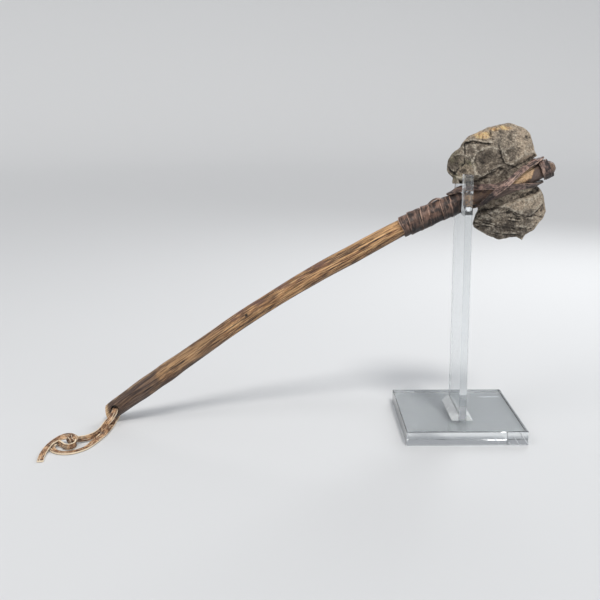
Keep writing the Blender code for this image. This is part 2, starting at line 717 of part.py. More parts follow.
def main():
    clear_scene()
    home = collection_named("hafted_stone_axe")
    cutters = collection_named("cutters")
    cutters.hide_render = True
    acrylic = material("clear_acrylic", (0.86, 0.90, 0.92), 0.08, alpha=0.3)
    wood = material("haft_wood", (0.46, 0.28, 0.14), 0.55)
    rock = material("chipped_stone", (0.27, 0.23, 0.19), 0.85)
    hide = material("dark_hide", (0.09, 0.06, 0.05), 0.7)
    leather = material("thong_leather", (0.24, 0.12, 0.07), 0.6)
    make_stand(home, acrylic)
    make_haft(home, cutters, wood)
    make_stone(home, rock)
    make_collar(home, hide)
    make_straps(home, hide)
    make_tip_binding(home, hide)
    make_thong(home, cutters, leather)


main()
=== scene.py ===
"""Looks of a hafted stone axe on its clear acrylic cradle stand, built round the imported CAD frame.

Metres, +Z up, the same frame as the CAD. Places on the axe are given in haft coordinates: x is the
world X of the haft's axis, t is the height above that axis in the plane of the axe, and y is the depth.
Fine relief on the wood and the stone is cut into the solid's form, never added on top of it.
"""

import math

import bmesh
import bpy
import numpy as np
from mathutils import Matrix, Vector

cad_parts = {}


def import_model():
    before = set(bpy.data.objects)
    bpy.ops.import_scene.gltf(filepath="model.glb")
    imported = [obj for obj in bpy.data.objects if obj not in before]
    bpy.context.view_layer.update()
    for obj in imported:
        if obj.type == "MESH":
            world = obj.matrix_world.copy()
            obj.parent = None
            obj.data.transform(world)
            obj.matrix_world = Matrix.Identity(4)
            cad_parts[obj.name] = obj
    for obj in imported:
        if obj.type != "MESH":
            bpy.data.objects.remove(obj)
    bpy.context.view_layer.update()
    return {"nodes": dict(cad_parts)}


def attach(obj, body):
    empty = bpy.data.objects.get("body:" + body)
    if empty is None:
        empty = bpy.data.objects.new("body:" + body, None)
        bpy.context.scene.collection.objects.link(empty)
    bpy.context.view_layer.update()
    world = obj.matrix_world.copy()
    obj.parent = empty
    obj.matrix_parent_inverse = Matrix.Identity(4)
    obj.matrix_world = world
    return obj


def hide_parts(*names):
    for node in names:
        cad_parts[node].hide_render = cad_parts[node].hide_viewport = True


# Camera
CAMERA_PLACE = (-0.1855, -0.9639, 0.3716)
CAMERA_PAN = math.radians(0.715)
CAMERA_PITCH = math.radians(-9.727)
CAMERA_LENS = 54.98
CAMERA_SHIFT = -0.10
CAMERA_SENSOR = 36.0
CAMERA_NEAR = 0.02

# Studio: the high window is a broad sun that shines along its way. Each softbox has its place, what it
# looks at, its width and height, its watts and its colour
SUN_POWER = 1.75
SUN_COLOUR = (1.0, 0.97, 0.93)
SUN_WAY = (-0.22, 0.62, -0.95)
SUN_SPREAD = math.radians(14.0)
SOFTBOXES = {
    "left_softbox": ((-0.9, -0.6, 1.2), (0.0, 0.0, 0.20), (0.7, 0.9), 5.0, (1.0, 0.98, 0.96)),
    "back_softbox": ((0.5, 0.9, 0.9), (0.02, 0.0, 0.22), (0.5, 0.8), 6.0, (1.0, 1.0, 1.0)),
    "side_softbox": ((1.2, -0.5, 0.6), (0.0, 0.0, 0.2), (0.5, 0.8), 3.0, (0.95, 0.98, 1.0)),
}
AIR_COLOUR = (0.93, 0.95, 1.0, 1.0)
AIR_STRENGTH = 0.40
# The floor is flat as far out as this, with rings at some distances, then sweeps up on a wide curve
# between two angles, in steps. It lies just under the base
FLOOR_FLAT = 3.2
FLOOR_RINGS = [0.0, 0.6, 1.4, 2.4, FLOOR_FLAT]
FLOOR_SWEEP = (0.15, 1.5708, 10)
FLOOR_CURVE = 1.6
FLOOR_SIDES = 64
FLOOR_GAP = 0.0001

# Hides: the screen colours of the dark, middle and light parts and of worn edges, the share of edge
# that is worn, the least roughness, the size of the mottling and the strength of the scraped streaks
HIDES = {
    "dark_hide": (
        [(24, 16, 16), (88, 68, 65), (168, 138, 126), (206, 176, 156)], 0.46, 0.42, 0.0045, 0.85
    ),
    "collar_hide": (
        [(27, 19, 17), (62, 46, 40), (120, 92, 78), (204, 168, 148)], 0.54, 0.38, 0.0080, 0.35
    ),
    "thong_leather": (
        [(66, 40, 24), (140, 100, 70), (196, 156, 116), (240, 222, 194)], 0.75, 0.44, 0.0045, 0.85
    ),
}
# Acrylics: how much light each lets through and its least roughness, and the one on each CAD node
ACRYLIC_IOR = 1.41
ACRYLICS = {
    "clear_acrylic": (1.0, 0.02), "handled_acrylic": (0.96, 0.02), "cemented_acrylic": (0.30, 0.25),
}
ACRYLIC_NODES = {
    "stand_base": "clear_acrylic", "stand_upright": "handled_acrylic",
    "foot_fillet_left": "cemented_acrylic", "foot_fillet_right": "cemented_acrylic",
}

# Fits and sizes shared with the CAD
CONTACT_GAP = 0.0003
SEAT_GAP = 0.0009
PLATE_THICKNESS = 0.008
PLATE_TOP = 0.2786
NOTCH_WIDTH = 0.025

AXE_YAW = math.radians(-1.4)
HAFT_AXIS = [
    (-0.393, 0.005), (-0.379, 0.0153), (-0.331, 0.0498), (-0.287, 0.0815), (-0.2425, 0.1135),
    (-0.1985, 0.1427), (-0.1547, 0.1695), (-0.111, 0.1939), (-0.067, 0.2182), (-0.032, 0.2347),
    (-0.006, 0.2459), (0.0415, 0.2645), (0.0915, 0.2845), (0.102, 0.2887),
]
HAFT_RADIUS = [
    (-0.393, 0.0062), (-0.388, 0.008), (-0.384, 0.0092), (-0.377, 0.0099), (-0.362, 0.0102),
    (-0.346, 0.011), (-0.331, 0.0107), (-0.318, 0.011), (-0.304, 0.0103), (-0.285, 0.0101),
    (-0.243, 0.0098), (-0.199, 0.0096), (-0.157, 0.0101), (-0.12, 0.0102), (-0.094, 0.01),
    (-0.067, 0.0095), (-0.032, 0.0088), (0.0, 0.0084), (0.0415, 0.0082), (0.062, 0.0084),
    (0.078, 0.0086), (0.0948, 0.0079),
]
BUTT_X = -0.3868
BUTT_TILT = math.radians(-13.0)
TIP_X = 0.0948
FORK_START = 0.001
FORK_END = 0.080
FORK_SPREAD = 0.016
FORK_POWER = 1.25
PRONG_THINNING = 0.9
SPLIT_WIDTH = 0.001
THONG_HOLE_X = -0.3765
THONG_HOLE_RISE = 0.0008
THONG_HOLE_DIAMETER = 0.009

# Haft detail: points round it, spacing of its rings, how far the split's blade runs out past the tip,
# points along that blade and round the bore, and the least angle of a sharp edge. Its ridges and
# hollows are drawn out along the grain
HAFT_SIDES = 88
HAFT_STEP = 0.0013
SPLIT_RUN_OUT = 0.004
SPLIT_POINTS = 48
BORE_SIDES = 48
WOOD_CREASE = 42.0
GRAIN_STRETCH = 30.0
HOLLOW_STRETCH = 4.0
# Layers of relief here and below: half the depth, size of the pits, seed and octaves
GRAIN_RIDGES = (0.00022, 0.0016, 3, 2)
HAFT_HOLLOWS = (0.00028, 0.0075, 11, 2)
KNOB_WEAR = (0.0011, 0.0036, 13, 2)
# The worn knob past the tip binding: where it starts to round off, and how far its rim is worn in
KNOB_START = 0.0890
KNOB_ROUNDING = 0.0028
# Each knot: x, angle from the front to the top, reach, height
HAFT_KNOTS = [
    (-0.3215, -38.0, 0.0085, 0.0006), (-0.286, 62.0, 0.007, 0.0004), (-0.233, 30.0, 0.006, -0.0004),
    (-0.201, 20.0, 0.008, 0.0004), (-0.149, -30.0, 0.008, 0.0005), (-0.118, -55.0, 0.007, 0.0004),
    (-0.26, 200.0, 0.009, 0.0005), (-0.17, 150.0, 0.007, 0.0005), (-0.34, 130.0, 0.008, 0.0005),
]
# Each drying check: first x, last x, angle at each end, depth. All fade out over a share of their
# length, sway by some degrees in waves along the haft, and have the same half width
CHECK_FADE = 0.12
CHECK_SWAY = 3.0
CHECK_WAVES = 260.0
CHECK_HALF = 0.00045
HAFT_CHECKS = [
    (-0.115, -0.069, -22.0, -14.0, 0.0007), (-0.132, -0.086, -36.0, -30.0, 0.0005),
    (-0.208, -0.15, -8.0, 2.0, 0.0005), (-0.252, -0.206, -34.0, -26.0, 0.0005),
    (-0.302, -0.258, 6.0, -4.0, 0.0004), (-0.342, -0.298, 34.0, 28.0, 0.0004),
    (-0.29, -0.21, 170.0, 182.0, 0.0006), (-0.19, -0.1, 205.0, 196.0, 0.0006),
]
# Knots: how far they are drawn out along the grain and how fast they fall off, in the wood's form and
# in its colour, and how dark they get. The colour takes the haft to be round with this radius
KNOT_FORM = (0.6, 1.6)
KNOT_STAIN = (0.55, 2.6)
KNOT_DARKNESS = 0.8
MEAN_RADIUS = 0.010
# Unevenness, here and below: size of the bumps, seed and octaves
HAFT_WANDER = (0.012, 5, 3)
HAFT_PATCHES = (0.006, 21, 3)
HAFT_SPECKS = (0.005, 31, 2)
PATCH_STRETCH = np.array([3.5, 1.0, 1.0])
# Nail hole: x, angle from the front to the top, radius of the haft there
NAIL_HOLE = (-0.2300, 19.0, 0.0098)
# How far the edges of the butt's wear and of the grip stray, how far the grip leans back above, how the
# bare wood on the prongs slants, and the turn of the crest that hands rubbed
BUTT_STRAY = 0.0016
GRIP_STRAY = 0.018
GRIP_LEAN = 0.006
PRONG_SLANT = 0.9
CREST_TURN = 66.0
# How much of the rubbing, shade and grey there is in the fork, and the most grey at the tip
FORK_RUBBING = 0.45
FORK_SHADE = 0.92
FORK_GREY = 0.70
TIP_GREY = 0.96
# Stains, wear, painted shade and a painted highlight on the haft. Each has its strength and its fades,
# and each fade has what it is measured by, the value where the mark is absent and the value where it is
# full
HAFT_MARKS = {
    "grip": (1.0, [("grip", -0.312, -0.340)]),
    "faint grip": (0.50, [("grip", -0.235, -0.290)]),
    "rubbed": (0.95, [
        ("from crest", 52.0, 14.0), ("patches", -0.2, 0.2), ("x", -0.27, -0.235), ("x", -0.125, -0.155),
    ]),
    "fork mouth": (1.0, [("x", 0.002, 0.012)]),
    "past crossing": (0.9, [("x", 0.044, 0.052)]),
    # Painted shade: the underside of the haft is darkened
    "shaded underside": (0.80, [
        ("turn", -26.0, -66.0), ("turn", -150.0, -120.0), ("patches", 0.50, -0.30),
    ]),
    # Painted shadow: the prongs are darkened under the straps and where the strap over them casts its
    # shadow
    "under straps": (1.0, [("prong turn", 4.0, -22.0), ("x", 0.004, 0.016), ("x", 0.082, 0.070)]),
    "over strap": (0.85, [("prong turn", 30.0, 48.0), ("x", 0.012, 0.018), ("x", 0.050, 0.044)]),
    "butt": (0.95, [("strayed x", -0.3815, -0.3845)]),
    # Painted highlight: a pale streak along the top of the haft by the grip
    "crown": (0.6, [
        ("turn", 52.0, 84.0), ("turn", 132.0, 104.0), ("x", -0.29, -0.335), ("wander", -0.35, 0.30),
    ]),
    "bared": (0.9, [("x", 0.046, 0.052), ("slant", 0.0690, 0.0680), ("prong turn", -12.0, 8.0)]),
    # Painted shade: past a slanting line the bared prong turns dark grey
    "shaded prong": (1.0, [("slant", 0.0680, 0.0690)]),
    "grey tip": (1.0, [("x", 0.0720, 0.0740)]),
    "grey gaps": (0.16, [("specks", -0.1, 0.4)]),
    # Painted shade: the inside of the thong's bore and the spot of the nail hole are coloured near
    # black
    "bore": (1.0, [("from bore", 0.0049, 0.0044), ("depth", 0.0094, 0.0080)]),
    "nail": (1.0, [("from nail", 0.0019, 0.0013)]),
}

# Stone head: world X and Z of its outline in the plane of the axe, clockwise from the left notch
STONE_CENTRE = (0.041, 0.2720)
STONE_OUTLINE = [
    (-0.0128, 0.2665), (-0.0133, 0.269), (-0.0128, 0.2725), (-0.0182, 0.2781), (-0.0195, 0.2808),
    (-0.0194, 0.2863), (-0.0185, 0.2918), (-0.0138, 0.2989), (-0.0073, 0.3044), (-0.0008, 0.3137),
    (0.0025, 0.3175), (0.0133, 0.3219), (0.0187, 0.3241), (0.0231, 0.3269), (0.0393, 0.3301),
    (0.0448, 0.3312), (0.048, 0.3308), (0.0512, 0.3293), (0.061, 0.326), (0.0675, 0.3204),
    (0.0707, 0.3116), (0.0735, 0.3024), (0.0766, 0.2966), (0.072, 0.2933), (0.069, 0.2905),
    (0.0688, 0.2868), (0.0698, 0.28), (0.0718, 0.2718), (0.0738, 0.2668), (0.08, 0.2628),
    (0.0834, 0.2583), (0.0858, 0.2517), (0.0884, 0.2365), (0.0858, 0.2299), (0.0815, 0.2245),
    (0.0772, 0.2168), (0.0675, 0.2108), (0.064, 0.2053), (0.0577, 0.2091), (0.0491, 0.2079),
    (0.0383, 0.2057), (0.0285, 0.2095), (0.0177, 0.2154), (0.0111, 0.2187), (0.0101, 0.223),
    (0.013, 0.233), (0.0152, 0.2375), (0.015, 0.242), (0.0112, 0.2465), (0.0076, 0.2505),
    (0.0076, 0.259), (-0.003, 0.2664),
]
STONE_HALF = 0.0182
STONE_RIM_HALF = 0.0012
CROWN_POWER = 2.2
CROWN_ROUNDING = 0.75
GROOVE_MARGIN = 0.0078
GROOVE_SLOPE = 0.9
LIP_GAP = 0.0010
LIP_MARGIN = 0.0015
# Flake scars: world X, Z, half thickness there, radius of the hollow, slopes of it towards +X and +Z
FRONT_FLAKES = [
    (0.021, 0.294, 0.0102, 0.04, 0.03, 0.0), (-0.0095, 0.2874, 0.004, 0.06, 0.35, 0.0),
    (0.0156, 0.317, 0.0052, 0.3, 0.1, -0.45), (0.058, 0.305, 0.0118, 0.2, -0.14, -0.12),
    (0.0702, 0.307, 0.0042, 0.09, -0.75, 0.0), (0.031, 0.2776, 0.0128, 0.06, 0.0, 0.1),
    (0.0528, 0.247, 0.0148, 0.25, -0.05, 0.05), (0.0473, 0.223, 0.008, 0.07, 0.0, 0.28),
    (0.0855, 0.236, 0.0034, 0.09, -0.7, 0.0), (0.0528, 0.2077, 0.002, 0.06, 0.0, 0.8),
]
BACK_FLAKES = [
    (0.05, 0.298, 0.0108, 0.05, -0.04, 0.0), (-0.006, 0.293, 0.004, 0.07, 0.38, -0.08),
    (0.022, 0.316, 0.006, 0.12, 0.05, -0.5), (0.068, 0.314, 0.0046, 0.08, -0.45, -0.35),
    (0.023, 0.286, 0.0118, 0.055, 0.08, 0.05), (0.03, 0.23, 0.0092, 0.06, 0.06, 0.15),
    (0.064, 0.235, 0.0104, 0.08, -0.1, 0.12), (0.08, 0.248, 0.0052, 0.07, -0.6, 0.0),
    (0.05, 0.21, 0.0026, 0.05, 0.0, 0.75),
]
# Stone detail: points along its rim, rings out to it, the share of the reach of the first ring, how
# evenly the others are spaced, least angle of a sharp edge, and how far the edges of its large flakes
# stray, with the size of the strays and the seeds for x and z of the first flake
STONE_ARMS = 420
STONE_RINGS = 104
FIRST_RING = 0.02
RING_EVENNESS = 0.45
STONE_CREASE = 38.0
FLAKE_WANDER = (0.0026, 0.013)
FLAKE_SEEDS = (151, 171)
# Each: size of the scars, radius of their hollows, and greatest depth
SCARS = [(0.0170, 0.0300, 0.0014), (0.0080, 0.0120, 0.0008), (0.0038, 0.0050, 0.0004)]
# The scars bend by waves of a size, three seeds and octaves. The front and the back differ, as each
# takes its unevenness from a plane that is this far out
SCAR_BEND = 0.22
SCAR_BENDS = [(0.012, seed, 3) for seed in (41, 42, 44)]
SCAR_SEED = 43
SIDE_PLANE = 0.013
SCAR_UNEVENNESS = 0.9
SCAR_FLATTENING = np.array([1.0, 1.0, 1.25])
# The rim: half its thickness, depth of its chips and their layers, how far it meanders to the front
# and back, and the shares of the reach between which it is worn even
RIM_EDGE_HALF = 0.0005
RIM_CHIP = 0.0010
RIM_CHIPS = [(0.5, 0.0065, 31, 2), (0.35, 0.0022, 37, 2)]
RIM_MEANDER = 0.0016
MEANDER_BENDS = (0.022, 91, 2)
WORN_RIM = (0.955, 0.985)
WORN_RIM_PALENESS = 0.3
# The meander fades in clear of the haft and of the plate. The carving fades in over this half thickness
CLEAR_OF_HAFT = (0.014, 0.022)
CLEAR_OF_FORK = 0.01
CLEAR_OF_PLATE = (0.001, 0.008)
CARVING_FADE = (STONE_RIM_HALF, 0.0050)
# Ridges and hollows that the finish sees, to pale the ridges and paint shade into the hollows: passes
# of evening out, full height, weight
RELIEF_LAYERS = [(26, 0.0008, 0.6), (5, 0.00028, 0.5)]
# Grit in two layers, and bedding lines that show below a height, fade over some unevenness, are
# stretched and lean along x, and have a depth
STONE_GRIT = [(0.00045, 0.0042, 71, 3), (0.00020, 0.0016, 73, 2)]
BEDDING = (0.0021, 67, 2)
BEDDING_TOP = (0.2400, 0.2320)
BEDDING_FADE = (-0.4, 0.4)
BEDDING_STRETCH = 6.0
BEDDING_LEAN = 0.12
BEDDING_DEPTH = 0.00075
# Lines on the stone: how far they wander, the size of that and the seeds for x and z, then where they
# break off and the unevenness over which they do. Then the width over which a step drops, and the
# depth, width and stain's width of a crack
LINE_WANDER = (0.0012, 0.0060, (59, 61))
CRACK_BREAKS = (0.0050, 65, 2)
CRACK_GOES = (-0.55, 0.10)
STEP_RISER = 0.0006
CRACK_DEPTH = 0.0007
CRACK_WIDTH = 0.0009
CRACK_STAIN = 0.0010
# Steps on the front, each a line of world X and Z with the drop below it and the width of its fade
FRONT_STEPS = [
    ([(0.0001, 0.3100), (0.0080, 0.3122), (0.0160, 0.3110), (0.0235, 0.3104)], 0.0018, 0.0055),
    ([(0.0280, 0.2415), (0.0450, 0.2421), (0.0541, 0.2356), (0.0627, 0.2324), (0.0714, 0.2345),
      (0.0778, 0.2410)], 0.0015, 0.0110),
    ([(0.0174, 0.2755), (0.0250, 0.2792), (0.0347, 0.2853)], 0.0016, 0.0075),
    ([(0.0347, 0.3047), (0.0375, 0.2950), (0.0400, 0.2900), (0.0530, 0.2853)], 0.0010, 0.0060),
    ([(-0.0205, 0.2874), (-0.0150, 0.2815), (-0.0096, 0.2777)], 0.0016, 0.0045),
]
BACK_STEPS = [
    ([(0.0700, 0.3000), (0.0560, 0.3060), (0.0440, 0.3040)], 0.0016, 0.0080),
    ([(0.0200, 0.2380), (0.0360, 0.2330), (0.0520, 0.2360), (0.0640, 0.2310)], 0.0014, 0.0100),
    ([(-0.0100, 0.3000), (0.0040, 0.2930), (0.0120, 0.2850)], 0.0014, 0.0070),
]
# Thin dark cracks, as lines of world X and Z, some of them along the steps
FRONT_CRACKS = [
    FRONT_STEPS[2][0],
    [(-0.0009, 0.3088), (-0.0004, 0.2990), (-0.0012, 0.2890), (-0.0060, 0.2830), (-0.0107, 0.2777)],
    [(-0.0214, 0.2874), (-0.0150, 0.2815), (-0.0096, 0.2777)],
    [(0.0001, 0.3090), (0.0110, 0.3100), (0.0229, 0.3090)],
    [(0.0304, 0.2421), (0.0449, 0.2421), (0.0541, 0.2356), (0.0627, 0.2324), (0.0714, 0.2345),
     (0.0778, 0.2410)],
    [(0.0240, 0.2350), (0.0400, 0.2300), (0.0560, 0.2270)],
    [(0.0180, 0.2270), (0.0370, 0.2210), (0.0560, 0.2190)],
    [(0.0300, 0.2160), (0.0430, 0.2130), (0.0600, 0.2120)],
]
BACK_CRACKS = [
    BACK_STEPS[0][0], BACK_STEPS[1][0], [(0.0040, 0.2960), (0.0160, 0.2900), (0.0300, 0.2920)],
]
# Tints on the stone: world X, Z, reach along X, reach along Z. The back has the same, moved and turned
# over. Their edges wander, and fade between two shares of their reach
SPOT_WANDER = (0.0022, 0.0080, (131, 137))
SPOT_FADE = (1.35, 0.45)
BACK_TINT_SHIFT = (0.07, 0.006)
STONE_TINTS = {
    "ochre": [
        (0.0175, 0.3178, 0.0085, 0.0036), (0.029, 0.3238, 0.0055, 0.0024),
        (0.04, 0.3258, 0.007, 0.0022),
    ],
    "pale": [
        (0.058, 0.25, 0.027, 0.011), (0.064, 0.299, 0.012, 0.014), (0.081, 0.235, 0.007, 0.018),
        (0.062, 0.32, 0.01, 0.007), (0.011, 0.3112, 0.012, 0.0016), (0.02, 0.319, 0.012, 0.005),
        (0.002, 0.28, 0.01, 0.0055), (0.043, 0.3262, 0.019, 0.004), (0.06, 0.312, 0.011, 0.009),
    ],
    # The dark spots low on the lower lobe, below a height of 0.24, are painted shade; the others are
    # darker patches of the stone
    "dark": [
        (0.013, 0.297, 0.012, 0.01), (0.034, 0.278, 0.016, 0.0055), (0.017, 0.237, 0.009, 0.018),
        (0.048, 0.2095, 0.02, 0.0045), (0.045, 0.299, 0.01, 0.007), (0.035, 0.223, 0.027, 0.011),
        (0.018, 0.29, 0.012, 0.013), (-0.012, 0.29, 0.008, 0.011), (0.048, 0.215, 0.024, 0.006),
    ],
    "moss": [
        (-0.013, 0.296, 0.007, 0.009), (-0.008, 0.274, 0.008, 0.006), (0.002, 0.285, 0.008, 0.007),
    ],
}

# Collar binding
COLLAR_START = -0.0655
COLLAR_END = 0.0004
COLLAR_RADIUS = [
    (-0.0655, 0.0104), (-0.06, 0.0109), (-0.05, 0.0118), (-0.038, 0.0117), (-0.026, 0.0112),
    (-0.014, 0.0113), (-0.004, 0.0114), (0.0004, 0.0112),
]
COLLAR_PITCH = 0.0105
# Painted shade on the underside: its fade by the depth below the axis, as a share of the radius
COLLAR_SHADE = (-0.25, 0.70)
# The slack loop: width and thickness of its strip, its depth, how far its face leans to the front,
# its steps and seed, and its x and height over the collar along the way
SLACK_STRIP = (0.0052, 0.0009)
SLACK_DEPTH = -0.0016
SLACK_LEAN = -0.15
SLACK_STEPS = 8
SLACK_SEED = 5
SLACK_LOOP = [
    (-0.033, -0.001), (-0.0305, 0.0006), (-0.027, 0.0019), (-0.0235, 0.0019), (-0.0205, 0.0004),
    (-0.0185, -0.0012),
]
# The windings: width and thickness of the strip, how far one edge rides over the turn before, turns
# made on the spot at each end, angle from the top at which they start, depth and size of the crumples,
# how far the edge strays, and how far a turn slips along the haft
COLLAR_WINDING = {
    "Strip Width": 0.0138, "Strip Thickness": 0.0008, "Lap": 0.0008, "End Turns": 0.55,
    "Start Turn": 2.6, "Crumple": 0.0011, "Crumple Size": 0.0052, "Ragged Edge": 0.0026,
    "Uneven Pitch": 0.0017, "Seed": 3.0,
}
TIP_WINDING = {
    "Strip Width": 0.0062, "Strip Thickness": 0.0011, "Lap": 0.0008, "End Turns": 0.45,
    "Start Turn": 1.2, "Crumple": 0.0007, "Crumple Size": 0.0036, "Ragged Edge": 0.0012,
    "Uneven Pitch": 0.0004, "Seed": 8.0,
}
TIP_PITCH = 0.0036
# Both windings: points on the line and steps a turn, how far the ends lie deeper or higher as a share
# of the lap, waves of the edge and of the slipping in each turn, turns over which the slipping fades
# at the ends, and the length that one turn takes up in the hide's pattern
LINE_POINTS = 60
WINDING_STEPS = 90.0
END_RISE = 0.35
STRAYS_PER_TURN = 3.5
SLIP_PER_TURN = 3.7
SLIP_FADE = 0.8
LENGTH_PER_TURN = 0.072

# Section of a cut strip: share across, share of its thickness, and how much of it is cut edge. The
# other side is the same, turned over
STRIP_SIDE = [
    (-0.5, -0.3, 1.0), (-0.47, -0.5, 0.7), (-0.43, -0.5, 0.0), (-0.25, -0.5, 0.0), (0.0, -0.5, 0.0),
    (0.25, -0.5, 0.0), (0.43, -0.5, 0.0), (0.47, -0.5, 0.7), (0.5, -0.3, 1.0),
]
STRIP_SECTION = np.array(STRIP_SIDE + [(-across, -rise, edge) for across, rise, edge in STRIP_SIDE])
# Cut strips: half the share trimmed off the width and nicked out of each edge, with the sizes of that,
# the share of the full thickness, the length of a ripple, and the least angle of a sharp edge
STRIP_TRIM = (0.05, 0.011)
STRIP_NICKS = (0.04, 0.0031)
STRIP_FULLNESS = 0.94
STRIP_RIPPLE = 0.013
HIDE_CREASE = 50.0

# Lashing straps round the head: haft x, height t over the axis, distance out in front of the haft's
# middle or of the middle of its prong (0 where the strap crosses over to the back), and the angle
# that its face is turned up from the front
STRAP_WIDTH = 0.0070
STRAP_THICKNESS = 0.0017
STRAP_CUPPING = 0.0002
STRAP_RIPPLE = 0.00015
# Darkening: how much lies all along, and the x where the painted shade starts and is full
RISING_SHADE = (0.0, (0.036, 0.018))
FALLING_SHADE = (0.42, (0.052, 0.074))
RISING_STRAP = [
    (0.0064, -0.0102, 0.0, -90.0), (0.0106, -0.0099, 0.004, -66.0), (0.0158, -0.007, 0.0082, -38.0),
    (0.022, -0.0033, 0.0104, -14.0), (0.0285, 0.0, 0.0117, 2.0), (0.0362, 0.0031, 0.0124, 16.0),
    (0.043, 0.0056, 0.012, 26.0), (0.0493, 0.008, 0.0109, 34.0), (0.0571, 0.0103, 0.0092, 38.0),
    (0.0651, 0.0118, 0.008, 40.0), (0.0728, 0.0124, 0.0072, 45.0), (0.0784, 0.0127, 0.006, 57.0),
    (0.0826, 0.0128, 0.0036, 75.0), (0.085, 0.0128, 0.0, 90.0),
]
FALLING_STRAP = [
    (-0.0102, 0.0132, 0.0, 90.0), (-0.007, 0.0132, 0.0046, 76.0), (-0.0018, 0.0136, 0.0056, 60.0),
    (0.005, 0.013, 0.0056, 52.0), (0.009, 0.0122, 0.0051, 44.0), (0.0133, 0.0112, 0.0062, 36.0),
    (0.0217, 0.0087, 0.0074, 28.0), (0.0301, 0.0059, 0.0084, 20.0), (0.0384, 0.0026, 0.0097, 8.0),
    (0.046, -0.0006, 0.01, -4.0), (0.054, -0.0038, 0.0098, -18.0), (0.063, -0.0074, 0.0088, -36.0),
    (0.07, -0.0102, 0.0068, -56.0), (0.075, -0.011, 0.004, -76.0), (0.0764, -0.0108, 0.0, -90.0),
]
STRAP_STEPS = 12

# Tip binding
TIP_BINDING_START = 0.0800
TIP_BINDING_END = 0.0905
TIP_BINDING_THICKNESS = 0.0022
TIP_BINDING_TAPER = 0.0004
TIP_BINDING_SINK = 0.0003
# The binding is darker all along by a share, and darker still below the axis as painted shade, fading
# in over these values of the depth below it
TIP_DARKENED = 0.35
TIP_SHADE = (-0.004, 0.008)

# Wrist thong: world places of the strip's middle and the way its face looks there
THONG_WIDTH = 0.0070
THONG_THICKNESS = 0.0018
THONG_LOOP = [
    ((-0.4085, -0.055, 0.0055), (0.4, -0.85, 0.0)), ((-0.399, -0.05, 0.0048), (0.35, -0.9, 0.1)),
    ((-0.3918, -0.042, 0.0048), (0.65, -0.7, 0.2)), ((-0.3876, -0.03, 0.005), (0.85, -0.4, 0.3)),
    ((-0.385, -0.015, 0.0064), (0.7, -0.6, 0.4)), ((-0.3806, -0.0068, 0.01), (0.1, -0.95, 0.4)),
    ((-0.3773, -0.0034, 0.015), (0.0, -0.65, 0.8)), ((-0.377, 0.003, 0.0172), (0.0, 0.0, 1.0)),
    ((-0.377, 0.016, 0.0172), (0.0, 0.0, 1.0)), ((-0.3772, 0.0226, 0.0152), (0.0, 0.65, 0.8)),
    ((-0.3776, 0.0246, 0.0088), (0.0, 1.0, 0.0)), ((-0.3784, 0.0222, 0.0036), (0.0, 0.75, -0.7)),
    ((-0.3792, 0.015, 0.0013), (0.0, 0.1, -1.0)), ((-0.3802, 0.003, 0.0011), (0.0, 0.0, -1.0)),
    ((-0.3806, -0.009, 0.0018), (-0.2, 0.1, -1.0)), ((-0.3815, -0.022, 0.003), (-0.5, 0.3, -0.8)),
    ((-0.384, -0.036, 0.0028), (-0.45, 0.3, -0.8)), ((-0.3884, -0.0507, 0.0021), (-0.2, 0.2, -1.0)),
    ((-0.3935, -0.0646, 0.0012), (0.0, 0.0, -1.0)), ((-0.3996, -0.0735, 0.0012), (0.0, 0.0, -1.0)),
    ((-0.4082, -0.0795, 0.0012), (0.0, 0.0, -1.0)), ((-0.418, -0.0795, 0.0012), (0.0, 0.0, -1.0)),
    ((-0.4262, -0.074, 0.0012), (0.0, 0.0, -1.0)), ((-0.4295, -0.066, 0.0022), (0.3, 0.0, -0.9)),
    ((-0.4262, -0.0605, 0.0038), (0.45, 0.65, -0.5)), ((-0.421, -0.064, 0.0042), (0.65, 0.7, 0.0)),
    ((-0.416, -0.07, 0.0042), (0.45, 0.85, 0.0)), ((-0.4097, -0.0712, 0.0042), (-0.1, 1.0, 0.0)),
    ((-0.406, -0.066, 0.0046), (-0.85, 0.4, 0.0)), ((-0.407, -0.059, 0.0052), (-0.95, 0.0, 0.0)),
]
THONG_TAIL = [
    ((-0.4068, -0.0572, 0.0076), (0.6, -0.5, 0.6)), ((-0.4115, -0.056, 0.0092), (0.1, -0.7, 0.7)),
    ((-0.418, -0.056, 0.0092), (-0.1, -0.65, 0.7)), ((-0.425, -0.0585, 0.0076), (-0.3, -0.5, 0.8)),
    ((-0.4306, -0.065, 0.0056), (-0.3, -0.3, 0.9)), ((-0.4335, -0.074, 0.0036), (-0.15, -0.2, 1.0)),
    ((-0.4346, -0.086, 0.0018), (0.0, -0.1, 1.0)), ((-0.433, -0.101, 0.0011), (0.0, 0.0, 1.0)),
]
THONG_STEPS = 10
KNOT_CENTRE = (-0.4105, -0.0580, 0.0068)
KNOT_HALF = (0.0070, 0.0056, 0.0056)
KNOT_AXIS_TURN = math.radians(22.0)
# Points round the knot and from pole to pole. Then the turns carved round it: waves across it, how
# far they slant and sway, and their depth. Then its folds, and the wear on the turns
KNOT_POINTS = (64, 40)
KNOT_CREASE = 60.0
KNOT_TURNS = 9.0
KNOT_SLANT = 0.35
KNOT_SWAY = 2.0
KNOT_TURN_DEPTH = 0.05
KNOT_FOLD_DEPTH = 0.07
KNOT_FOLDS = (0.55, 17, 2)
KNOT_RADIUS = 0.006
KNOT_WORN = (0.75, 1.0)
KNOT_WEAR = 0.8


def tone(red, green, blue):
    """A colour picked on screen, as the linear values that a shader takes."""
    shares = (c / 255 for c in (red, green, blue))
    return tuple(c / 12.92 if c <= 0.04045 else ((c + 0.055) / 1.055) ** 2.4 for c in shares) + (1.0,)


# Small tools for shapes


